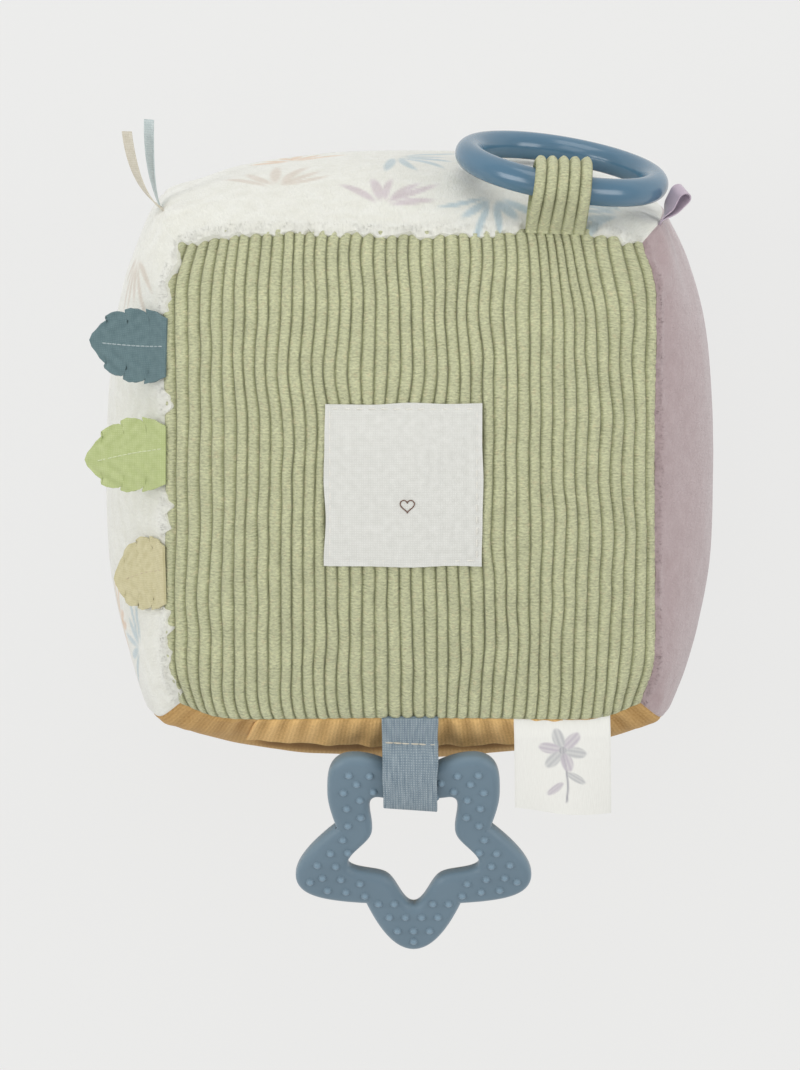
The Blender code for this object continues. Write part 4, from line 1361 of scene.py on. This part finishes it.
star = {
    "lobes": 5,
    "tipRadius": 0.0388,
    "valleyRadius": 0.0257,
    "tipRound": 0.0062,
    "valleyRound": 0.0050,
    "valleyOpening": 58.0,
    "holeTipRadius": 0.0206,
    "holeValleyRadius": 0.0133,
    "holeTipRound": 0.0052,
    "holeValleyRound": 0.0030,
    "thickness": 0.0066,
    "edgeRadius": 0.0027,
    "curveSteps": 24,
    # knots of the two squarer lobes, from the star's middle
    "squareLobes": (4, 6),
    "lobeSide": (-0.0155, -0.0205, -0.0264),
    "lobeWidth": 0.0243,
    "lobeTop": -0.0309,
    "lobeAcross": (0.0240, 0.0186, 0.0120),
    "barNotch": 0.0011,
    "stretch": 0.0016,
    "armDrop": 0.0012,
    "narrow": 0.985,
    "holeStretch": (1.09, 1.03),
    "holeShift": 0.0006,
    "nubRadius": 0.00112,
    "nubHeight": 0.00105,
    # from the star's middle, each row's distance and its nubs' places across the lobe
    "nubRows": (
        (0.0344, (0.0,)),
        (0.0303, (-0.0051, 0.0, 0.0051)),
        (0.0250, (-0.0077, -0.0026, 0.0026, 0.0077)),
        (0.0198, (-0.0111, -0.0061, 0.0061, 0.0111)),
    ),
    "centreReach": 0.0459,
    "weld": 0.00001,
}
strap = {
    "seamX": 0.0010,
    "start": -0.0012,
    "droop": 26.5,
    "cloth": 0.0009,
    "width": 0.0174,
    "endWidth": 0.0164,
    "stitchReach": 0.0088,
    "stitchLength": 0.0026,
    "stitchRadius": 0.00026,
    "stitches": 6,
    "stitchSlope": 0.06,
    "aside": 0.0010,
    "shorter": 0.0019,
    "tiltRoom": 0.0009,
    "stitchExponent": 2.2,
    "foldExponent": 3.2,
    "fitGap": 0.0003,
    "pathSteps": (10, 16, 20),
}


def strapAxes():
    outward, side = tabAxes("lower", strap["seamX"], strap["width"], strap["droop"])
    return frontSeam("lower", strap["seamX"]), outward, side


def polar(radius, angle):
    return np.array([radius * math.cos(angle), radius * math.sin(angle)])


def squareLobe(sign):
    # the two lobes beside the strap are squarer, with a knot on their side and one on top
    side = tuple(np.array([x, sign * star["lobeWidth"]]) for x in star["lobeSide"])
    top = tuple(np.array([star["lobeTop"], sign * y]) for y in star["lobeAcross"])
    return [side, top] if sign > 0 else [top[::-1], side[::-1]]


def starOutline(tip, valley, tipHandle, valleyHandle, opening, squared=False):
    knots = []
    for index in range(2 * star["lobes"]):
        angle = index * math.pi / star["lobes"]
        if squared and index in star["squareLobes"]:
            knots += squareLobe(5 - index)
        elif index % 2 == 0:
            spot = polar(tip, angle)
            side = polar(tipHandle, angle + math.pi / 2)
            knots.append((spot - side, spot, spot + side))
        else:
            spot = polar(valley, angle)
            wide = math.radians(opening)
            before = spot + polar(valleyHandle, angle - wide)
            knots.append((before, spot, spot + polar(valleyHandle, angle + wide)))
    points = []
    for (_, start, out), (into, end, _) in zip(knots, knots[1:] + knots[:1]):
        for step in range(star["curveSteps"]):
            t = step / star["curveSteps"]
            s = 1 - t
            points.append(start * s**3 + out * 3 * s * s * t + into * 3 * s * t * t + end * t**3)
    return np.array(points)


def hangStar(spots):
    # the moulded star is a little longer than it is wide, with arms that point down
    drop = star["stretch"] * ramp((spots[:, 0] + 0.0314) / 0.045)
    drop += star["armDrop"] * np.minimum(np.abs(spots[:, 1]) / 0.037, 1) ** 4
    return np.stack([spots[:, 0] + drop, spots[:, 1] * star["narrow"]], axis=1)


def makeStarRing(top):
    # a filled curve with a full round edge, as the moulded ring has
    edge, opening = star["edgeRadius"], star["valleyOpening"]
    tip, valley = star["tipRadius"] - edge, star["valleyRadius"]
    valley -= edge / math.sin(math.radians(opening))
    outer = starOutline(tip, valley, star["tipRound"], star["valleyRound"], opening, True)
    tip, valley = star["holeTipRadius"] + edge, star["holeValleyRadius"] + edge
    hole = starOutline(tip, valley, star["holeTipRound"], star["holeValleyRound"], 90.0)
    hole = hole * star["holeStretch"] + (star["holeShift"], 0)
    # the bar under the strap is worn a little thinner
    under = (hole[:, 0] < -0.010) * (1 - ramp((np.abs(hole[:, 1]) - 0.004) / 0.006))
    hole[:, 0] -= star["barNotch"] * under
    piece = curvePiece(
        "star_teether_body",
        [np.pad(outline, ((0, 0), (0, 1))) for outline in (hangStar(outer), hole)],
        starSilicone,
        dimensions="2D",
        fill_mode="BOTH",
        extrude=top - edge,
        bevel_depth=edge,
        bevel_resolution=8,
    )
    editAll(piece, bpy.ops.mesh.remove_doubles, threshold=star["weld"])
    faceOutwards(piece)
    # painted highlight: the rounded moulded edge is painted a little paler all round
    rim = ramp((top - np.abs(readPoints(piece)[:, 2])) / (edge * 0.7))
    tagPoints(piece, "paintedLight", 0.5 * rim)
    return piece


def makeNubs(top):
    places = []
    for side, lobe in product((-1, 1), range(star["lobes"])):
        angle = 2 * math.pi * lobe / star["lobes"]
        for radius, offsets in star["nubRows"]:
            for offset in offsets:
                spot = polar(radius, angle) + polar(offset, angle + math.pi / 2)
                x, y = hangStar(spot[None, :])[0]
                place = Matrix.Translation((x, y, side * (top - 0.00002)))
                places.append(place @ Matrix.Diagonal((1, 1, side, 1)))
    clearSelection()
    bpy.ops.mesh.primitive_circle_add(vertices=14, radius=1.0, fill_type="TRIFAN")
    nub = bpy.context.object
    editAll(nub, bpy.ops.mesh.subdivide, number_cuts=3)
    # low dome with a short skirt where it runs into the face
    spots = readPoints(nub)[:, :2]
    away = np.clip(np.hypot(spots[:, 0], spots[:, 1]), 0, 1)
    dome = (np.sqrt(np.maximum(1 - (away / 0.86) ** 2, 0)) + 0.12 * (1 - away)) / 1.12
    flat = spots * star["nubRadius"] * 1.25
    writePoints(nub, np.column_stack([flat, dome * star["nubHeight"]]))
    # painted light: each nub's top is painted lighter as a highlight, its skirt darker as shade
    paintedLight = ramp((dome - 0.25) / 0.6) - ramp((0.35 - dome) / 0.3) * ramp((1 - away) / 0.12)
    nubs = copyEach("star_nubs", nub, places, starSilicone)
    tagPoints(nubs, "paintedLight", np.tile(paintedLight, len(places)))
    faceOutwards(nubs)
    return nubs


def makeStar():
    top = star["thickness"] / 2
    piece = makeStarRing(top)
    joinTo(piece, [makeNubs(top)])
    root, outward, side = strapAxes()
    piece.data.transform(frameAt(root + outward * star["centreReach"], outward, side))
    smoothShade(piece, 40)
    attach(piece, "star_body")
    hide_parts("star_teether")


makeStar()
print("star made")


# Denim strap that holds the star, and the cream stitching that closes it


def strapPath():
    room = star["thickness"] / 2 + star["nubHeight"] + strap["tiltRoom"]
    fold = star["centreReach"] - star["holeValleyRadius"] + strap["fitGap"] - strap["shorter"]
    middle = (strap["stitchReach"] + fold) / 2
    halfLength = (fold - strap["stitchReach"]) / 2
    layer = strap["cloth"] / 2
    flatSteps, riseSteps, foldSteps = strap["pathSteps"]
    x = np.linspace(strap["start"], strap["stitchReach"] - 0.0006, flatSteps)
    flat = np.stack([x, np.full(flatSteps, layer)], axis=1)
    u = -np.cos(math.pi / 2 * np.linspace(0, 1, riseSteps + 1)[1:])
    power = strap["stitchExponent"]
    height = room * np.maximum(1 - np.abs(u) ** power, 0) ** (1 / power) + layer
    rise = np.stack([middle + halfLength * u, height], axis=1)
    u = np.sin(math.pi / 2 * np.linspace(0, 1, foldSteps + 1)[1:])
    power = strap["foldExponent"]
    height = (room + layer) * np.maximum(1 - u**power, 0) ** (1 / power)
    turn = np.stack([middle + (halfLength + layer) * u, height], axis=1)
    points = np.concatenate([flat, rise, turn])
    return np.concatenate([points, points[-2::-1] * (1, -1)]), points[:, 0].max()


def makeStrap():
    path, end = strapPath()
    piece, points, v, run = sweepPath(path, strap["width"], 20)
    nameIt(piece, "star_strap_cloth", chambray)
    taper = 1 - (1 - strap["endWidth"] / strap["width"]) * points[:, 0] / end
    points[:, 2] = points[:, 2] * taper + strap["aside"]
    # a soft band: its sides wave a little and its fold hangs lower at one end
    points[:, 2] += 0.00025 * flatNoise(points[:, 0], v * 0.004, 0.006, 51)
    points[:, 0] -= 0.0007 * v * ramp(points[:, 0] / end)
    # small creases beside the stitching
    near = bell(points[:, 0] - strap["stitchReach"], 0.004)
    crease = 0.00018 * near * np.sin(v * 9 + points[:, 0] * 900)
    points[:, 1] += crease * np.sign(points[:, 1])
    writePoints(piece, points)
    mapCloth(piece, v * 8.7, run * 1000)
    root, outward, side = strapAxes()
    place = frameAt(root, outward, outward.cross(side))
    piece.data.transform(place)
    turnOutwards(piece, root + outward * 0.02)
    thicken(piece, strap["cloth"] * 0.94, offset=0, bevel=0.00025)
    smoothShade(piece, 60)
    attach(piece, "strap_body")
    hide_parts("star_strap")
    return place


def makeStrapStitch(place):
    stitch = addStitch(strap["stitchLength"], strap["stitchRadius"])
    places = []
    layer = strap["cloth"] + 0.00005
    for side, index in product((-1, 1), range(strap["stitches"])):
        z = (index - (strap["stitches"] - 1) / 2) * strap["stitchLength"]
        reach = strap["stitchReach"] - 0.0008 - strap["stitchSlope"] * z
        spot = Vector((reach, side * layer, z + strap["aside"]))
        places.append(place @ stitchPlace(spot, (-strap["stitchSlope"], 0, 1), (0, side, 0)))
    piece = copyEach("strap_stitch", stitch, places, threadCream)
    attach(piece, "strap_body")


makeStrapStitch(makeStrap())
print("strap made")


# Leaf tabs with a stitched vein

leafShape = {
    "length": 0.0255,
    "halfWidth": 0.0114,
    "folds": 0.00028,
    "foldPitch": 0.0044,
    "rootLift": 0.0009,
    "thickness": 0.0009,
    "start": -0.0012,
    "weld": 0.00002,
    # edge of the leaf with its teeth, as shares of its length and half width
    "outline": (
        ((0, 0.78), (0.15, 0.93), (0.290, 1.0), (0.262, 0.84), (0.32, 0.93), (0.40, 0.98))
        + ((0.48, 0.99), (0.560, 0.93), (0.532, 0.79), (0.59, 0.86), (0.66, 0.85), (0.73, 0.80))
        + ((0.800, 0.70), (0.776, 0.61), (0.87, 0.45), (0.97, 0.18), (1.0, 0.0))
    ),
    "edgeSteps": 5,
    "acrossSteps": 10,
    "stitchRadius": 0.00021,
}
leaves = {
    "leaf_upper": {
        "seamY": 0.0380,
        "up": 0.0010,
        "short": 0.0010,
        "vein": (-0.0004, 0.0006),
        "stitches": (13, 1.04),
        "droop": 26.0,
        "turn": -3.0,
        "curl": 0.0030,
        "cup": 0.0012,
        "slot": "blue_grey_felt",
        "colour": "#71878a",
        "shade": "#5c7276",
        "thread": "#c9d2d2",
    },
    "leaf_middle": {
        "seamY": 0.0070,
        "up": -0.0007,
        "short": 0.0005,
        "vein": (-0.0020, 0.0012),
        "stitches": (13, 1.04),
        "droop": 13.0,
        "turn": 5.0,
        "curl": -0.0014,
        "cup": -0.0010,
        "slot": "lime_felt",
        "colour": "#c0c996",
        "shade": "#a9b57b",
        "thread": "#d3d9bb",
    },
    "leaf_lower": {
        "seamY": -0.0295,
        "up": -0.0010,
        "short": -0.0014,
        "vein": (-0.0016, 0.0016),
        "stitches": (9, 0.72),
        "droop": 49.0,
        "turn": 8.0,
        "curl": -0.0016,
        "cup": -0.0008,
        "slot": "beige_felt",
        "colour": "#d6cfab",
        "shade": "#beb68e",
        "thread": "#b3a287",
    },
}


def leafHeight(x, y, shape):
    along = np.clip(x / leafShape["length"], 0, 1)
    aside = y / leafShape["halfWidth"]
    folds = np.sin(2 * np.pi * (x * 0.8 + np.abs(y)) / leafShape["foldPitch"])
    folds *= ramp(np.abs(aside) * 3) * ramp(along * 8) * ramp((1 - along) * 5)
    height = shape["curl"] * along**2 + shape["cup"] * along * aside**2
    return height + leafShape["folds"] * folds + leafShape["rootLift"] * (1 - ramp(x / 0.0045))


def leafSway(x, length, shape):
    return ramp(x / length) * x * math.tan(math.radians(shape["turn"]))


def makeLeaf(name, shape):
    # brushed cotton leaf: matte, soft and even, with hardly any weave to see
    title = name.replace("leaf_", "")
    cotton = makeWoven(
        title + " leaf cotton", shape["colour"], shape["shade"], 0.55, 0.3, depth=0.0001
    )
    corners = np.array(leafShape["outline"])
    steps = leafShape["edgeSteps"]
    spots = np.arange((len(corners) - 1) * steps + 1) / steps
    rows = np.stack([np.interp(spots, range(len(corners)), side) for side in corners.T], axis=1)
    piece, u, v = addGrid(len(rows) - 1, 2 * leafShape["acrossSteps"])
    share = (u + 1) / 2
    index = np.rint(share * (len(rows) - 1)).astype(int)
    away = np.abs(v)
    start, length = leafShape["start"], leafShape["length"] - shape["short"]
    x = start + (share + (rows[index, 0] - share) * away) * (length - start)
    y = np.sign(v) * rows[index, 1] * away * leafShape["halfWidth"]
    sway = leafSway(x, length, shape)
    writePoints(piece, np.stack([x, y + sway, leafHeight(x, y, shape)], axis=1))
    nameIt(piece, name + "_cloth", cotton)
    mapCloth(piece, x * 1000, y * 1000)
    outward, hinge = tabAxes("left", shape["seamY"], leafShape["halfWidth"], shape["droop"])
    place = frameAt(frontSeam("left", shape["seamY"] + shape["up"]), outward, -hinge)
    piece.data.transform(place)
    editAll(piece, bpy.ops.mesh.remove_doubles, threshold=leafShape["weld"])
    turnOutwards(piece, (0, 0, -1))
    thicken(piece, leafShape["thickness"], offset=0)
    smoothShade(piece, 50)
    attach(piece, name + "_body")
    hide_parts(name)
    makeVein(name, title, shape, place, length)


def makeVein(name, title, shape, place, length):
    # the vein is a sewn line: tight stitches that read as one line, or a running stitch
    thread = makeThread(title + " leaf thread", shape["thread"], shape["colour"])
    count, stitchShare = shape["stitches"]
    spots = np.linspace(0.0009, length * 0.80, count)
    pitch = spots[1] - spots[0]
    rootSide, tipSide = shape["vein"]
    sway = leafSway(spots, length, shape)
    sway += rootSide + (tipSide - rootSide) * (spots / length) ** 0.8
    heights = leafHeight(spots, sway, shape) + leafShape["thickness"] / 2
    line = np.stack([spots, sway, heights], axis=1)
    headings = np.diff(line, axis=0)
    headings = np.concatenate([headings, headings[-1:]])
    places = []
    for point, heading in zip(line, headings):
        places.append(place @ stitchPlace(point, heading, (-heading[2] / pitch, 0, 1)))
    stitch = addStitch(pitch * stitchShare, leafShape["stitchRadius"])
    piece = copyEach(name + "_vein", stitch, places, thread)
    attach(piece, name + "_body")


for leafName, leafValues in leaves.items():
    makeLeaf(leafName, leafValues)
print("leaves made")


# Folded satin tag with a plain flower print

tag = {
    "width": 0.0296,
    "length": 0.0328,
    "thickness": 0.0008,
    "strapDistance": 0.0455,
    "droop": 18.0,
    "curl": 0.0018,
    "skew": 0.0014,
    "swell": 0.0009,
    "rootDip": 0.0012,
    "steps": 90,
    "start": -0.0010,
}
flower = {
    "grey": "#cfd0d6",
    "lilac": "#d3ccd9",
    "stem": "#b9b8c2",
    "middle": (0.0110, 0.0),
    "petals": 6,
    "petalReach": 0.0042,
    "petalSize": (0.0037, 0.0021),
    "eyeSize": (0.0014, 0.0014),
    "stemBend": 0.0014,
    "stemWidth": 0.00028,
    # a leaf's place, turn, half length, half width and colour
    "leaves": (
        ((0.0205, 0.0040), 0.95, (0.0038, 0.0014), "grey"),
        ((0.0240, -0.0024), -0.85, (0.0036, 0.0013), "lilac"),
    ),
}


def paintPetal(ink, x, y, place, angle, size, colour):
    dx, dy = x - place[0], y - place[1]
    one = dx * math.cos(angle) + dy * math.sin(angle)
    two = dy * math.cos(angle) - dx * math.sin(angle)
    inside = 1 - np.hypot(one / size[0], two / size[1])
    streak = 0.8 + 0.2 * np.sin(two / size[1] * 9)
    ink += (np.array(toLinear(flower[colour])) - ink) * (ramp(inside * 4) * streak)[:, None]


def paintFlower(x, y):
    # generic print: a six-petalled flower on a bent stem with two leaves, grey and lilac
    ink = np.ones((len(x), 4))
    bend = flower["stemBend"] * np.sin((x - 0.012) / 0.0168 * 2.4)
    along = ramp((x - 0.0118) / 0.001) * ramp((0.0292 - x) / 0.001)
    line = ramp(1.6 - np.abs(y - bend) / flower["stemWidth"]) * along
    ink += (np.array(toLinear(flower["stem"])) - ink) * line[:, None]
    for leaf in flower["leaves"]:
        paintPetal(ink, x, y, *leaf)
    for index in range(flower["petals"]):
        angle = index * 2 * math.pi / flower["petals"] + 0.3
        place = polar(flower["petalReach"], angle) + flower["middle"]
        colour = "grey" if index % 2 else "lilac"
        paintPetal(ink, x, y, place, angle, flower["petalSize"], colour)
    paintPetal(ink, x, y, flower["middle"], 0.0, flower["eyeSize"], "stem")
    # woven edges
    side = ramp((np.abs(y) / (tag["width"] / 2) - 0.955) / 0.02)
    ink *= 1 - 0.05 * side[:, None]
    ink[:, 3] = 1
    return ink


def makeTag():
    piece, u, v = addGrid(tag["steps"], tag["steps"])
    nameIt(piece, "satin_tag_cloth", satinWhite)
    start, length = tag["start"], tag["length"]
    x = start + (length - start) * (u + 1) / 2
    y = v * tag["width"] / 2
    along, across = np.clip(x / length, 0, 1), v / 2
    x = x + tag["skew"] * v * along
    z = tag["curl"] * along**2 * (np.cos(np.pi * across) - along)
    z += tag["swell"] * np.sin(np.pi * (across * 1.6 + 0.2)) * along
    z -= tag["rootDip"] * (1 - ramp(x / 0.007))
    z += 0.00025 * flatNoise(x, y, 0.009, 61) * along
    writePoints(piece, np.stack([x, y, z], axis=1))
    mapCloth(piece, x * 1000, y * 1000)
    tintPoints(piece, paintFlower(x, y))
    seamX = strap["seamX"] + tag["strapDistance"]
    outward, hinge = tabAxes("lower", seamX, tag["width"], tag["droop"])
    piece.data.transform(frameAt(frontSeam("lower", seamX), outward, hinge))
    turnOutwards(piece, (0, 0, -1))
    thicken(piece, tag["thickness"] * 0.8, offset=0)
    smoothShade(piece, 50)
    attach(piece, "tag_body")
    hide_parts("satin_tag")


makeTag()
print("tag made")


# Narrow ribbons and the satin loop, sewn in the upright seams

ribbonShape = {
    "width": 0.0034,
    "thickness": 0.0004,
    "spacing": 0.0044,
    "twist": 55.0,
    "start": -0.0012,
    "steps": 60,
}
ribbons = {
    "ribbon_cream": {
        "shift": 0.5,
        "bend": (-0.0082, 0.0052, 0.0),
        "tip": (-0.0102, 0.0236, -0.0030),
        "body": "cream_body",
        "slot": "cream_ribbon",
        "colour": "#dcd7c9",
        "shade": "#c4bdab",
    },
    "ribbon_blue": {
        "shift": -0.5,
        "bend": (-0.0035, 0.0084, 0.0),
        "tip": (-0.0029, 0.0264, -0.0020),
        "body": "blue_body",
        "slot": "pale_blue_ribbon",
        "colour": "#d0d8d7",
        "shade": "#b3c0c0",
    },
}
satinLoop = {
    "seamShare": 0.80,
    "start": -0.0012,
    "reach": 0.0120,
    "radius": 0.0019,
    "cloth": 0.0004,
    "width": 0.0055,
    "side": 36.0,
    "twist": 42.0,
    "pathSteps": (16, 24),
}


def depthSeam(side, share, width):
    # these narrow pieces follow the seam as it is sewn and stuffed
    step = width / 2 / block["halfDepth"]
    spots = np.array([share - step, share, share + step])
    low, root, high = pullCorners(cushionPoints(side, np.ones(3), spots))
    return Vector(root), Vector(high - low).normalized()


def makeRibbon(name, shape):
    share = block["ribbonSeamShare"] + shape["shift"] * ribbonShape["spacing"] / block["halfDepth"]
    root, seam = depthSeam("left", share, ribbonShape["width"])
    bend, tip = Vector(shape["bend"]), Vector(shape["tip"])
    start = Vector((bend.x, bend.y, 0)).normalized() * ribbonShape["start"]
    piece, u, v = addGrid(ribbonShape["steps"], 4)
    points = []
    for t, aside in zip((u + 1) / 2, v / 2):
        middle = start * (1 - t) ** 2 + bend * (2 * t * (1 - t)) + tip * t * t
        heading = ((bend - start) * (1 - t) + (tip - bend) * t).normalized()
        level = heading.cross(Vector((0, 0, 1))).normalized()
        angle = math.radians(ribbonShape["twist"]) * float(ramp(t))
        wide = Vector((0, 0, 1)) * math.cos(angle) + level * math.sin(angle)
        points.append(tuple(middle + wide * aside * ribbonShape["width"]))
    writePoints(piece, np.array(points))
    # grosgrain ribbon: close cross ribs, slightly shiny; ribs 0.5 mm, drawn 0.6 mm
    title = name.replace("ribbon_", "") + " grosgrain"
    finish = makeWoven(title, shape["colour"], shape["shade"], 0.6, 0.5, roughness=0.6)
    nameIt(piece, name + "_weave", finish)
    mapCloth(piece, v * 1.7, u * 14)
    turn = Vector((0, 0, 1)).rotation_difference(seam).to_matrix().to_4x4()
    piece.data.transform(Matrix.Translation(root) @ turn)
    thicken(piece, ribbonShape["thickness"], offset=0)
    faceOutwards(piece)
    smoothShade(piece, 50)
    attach(piece, shape["body"])
    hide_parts(name)


def makeSatinLoop():
    root, seam = depthSeam("right", satinLoop["seamShare"], satinLoop["width"])
    side = math.radians(satinLoop["side"])
    normal = seam.cross(Vector((math.sin(side), math.cos(side), 0)))
    outward = normal.cross(seam)
    radius = satinLoop["radius"] + satinLoop["cloth"]
    reach = satinLoop["reach"] - radius
    path = loopPath(satinLoop["start"], reach, radius, *satinLoop["pathSteps"])
    piece, points, v, run = sweepPath(path, satinLoop["width"], 12)
    nameIt(piece, "ribbon_loop_satin", satinMauve)
    twist = math.radians(satinLoop["twist"]) * ramp(points[:, 0] / 0.006)
    x, y, z = points.T
    turned = [x, y * np.cos(twist) - z * np.sin(twist), y * np.sin(twist) + z * np.cos(twist)]
    writePoints(piece, np.stack(turned, axis=1))
    mapCloth(piece, run * 1000, v * 2.75)
    piece.data.transform(frameAt(root, outward, normal))
    turnOutwards(piece, root + outward * satinLoop["reach"] * 0.7)
    thicken(piece, satinLoop["cloth"])
    smoothShade(piece, 50)
    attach(piece, "satin_loop_body")
    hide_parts("ribbon_loop")


for ribbonName, ribbonValues in ribbons.items():
    makeRibbon(ribbonName, ribbonValues)
makeSatinLoop()
print("ribbons made")
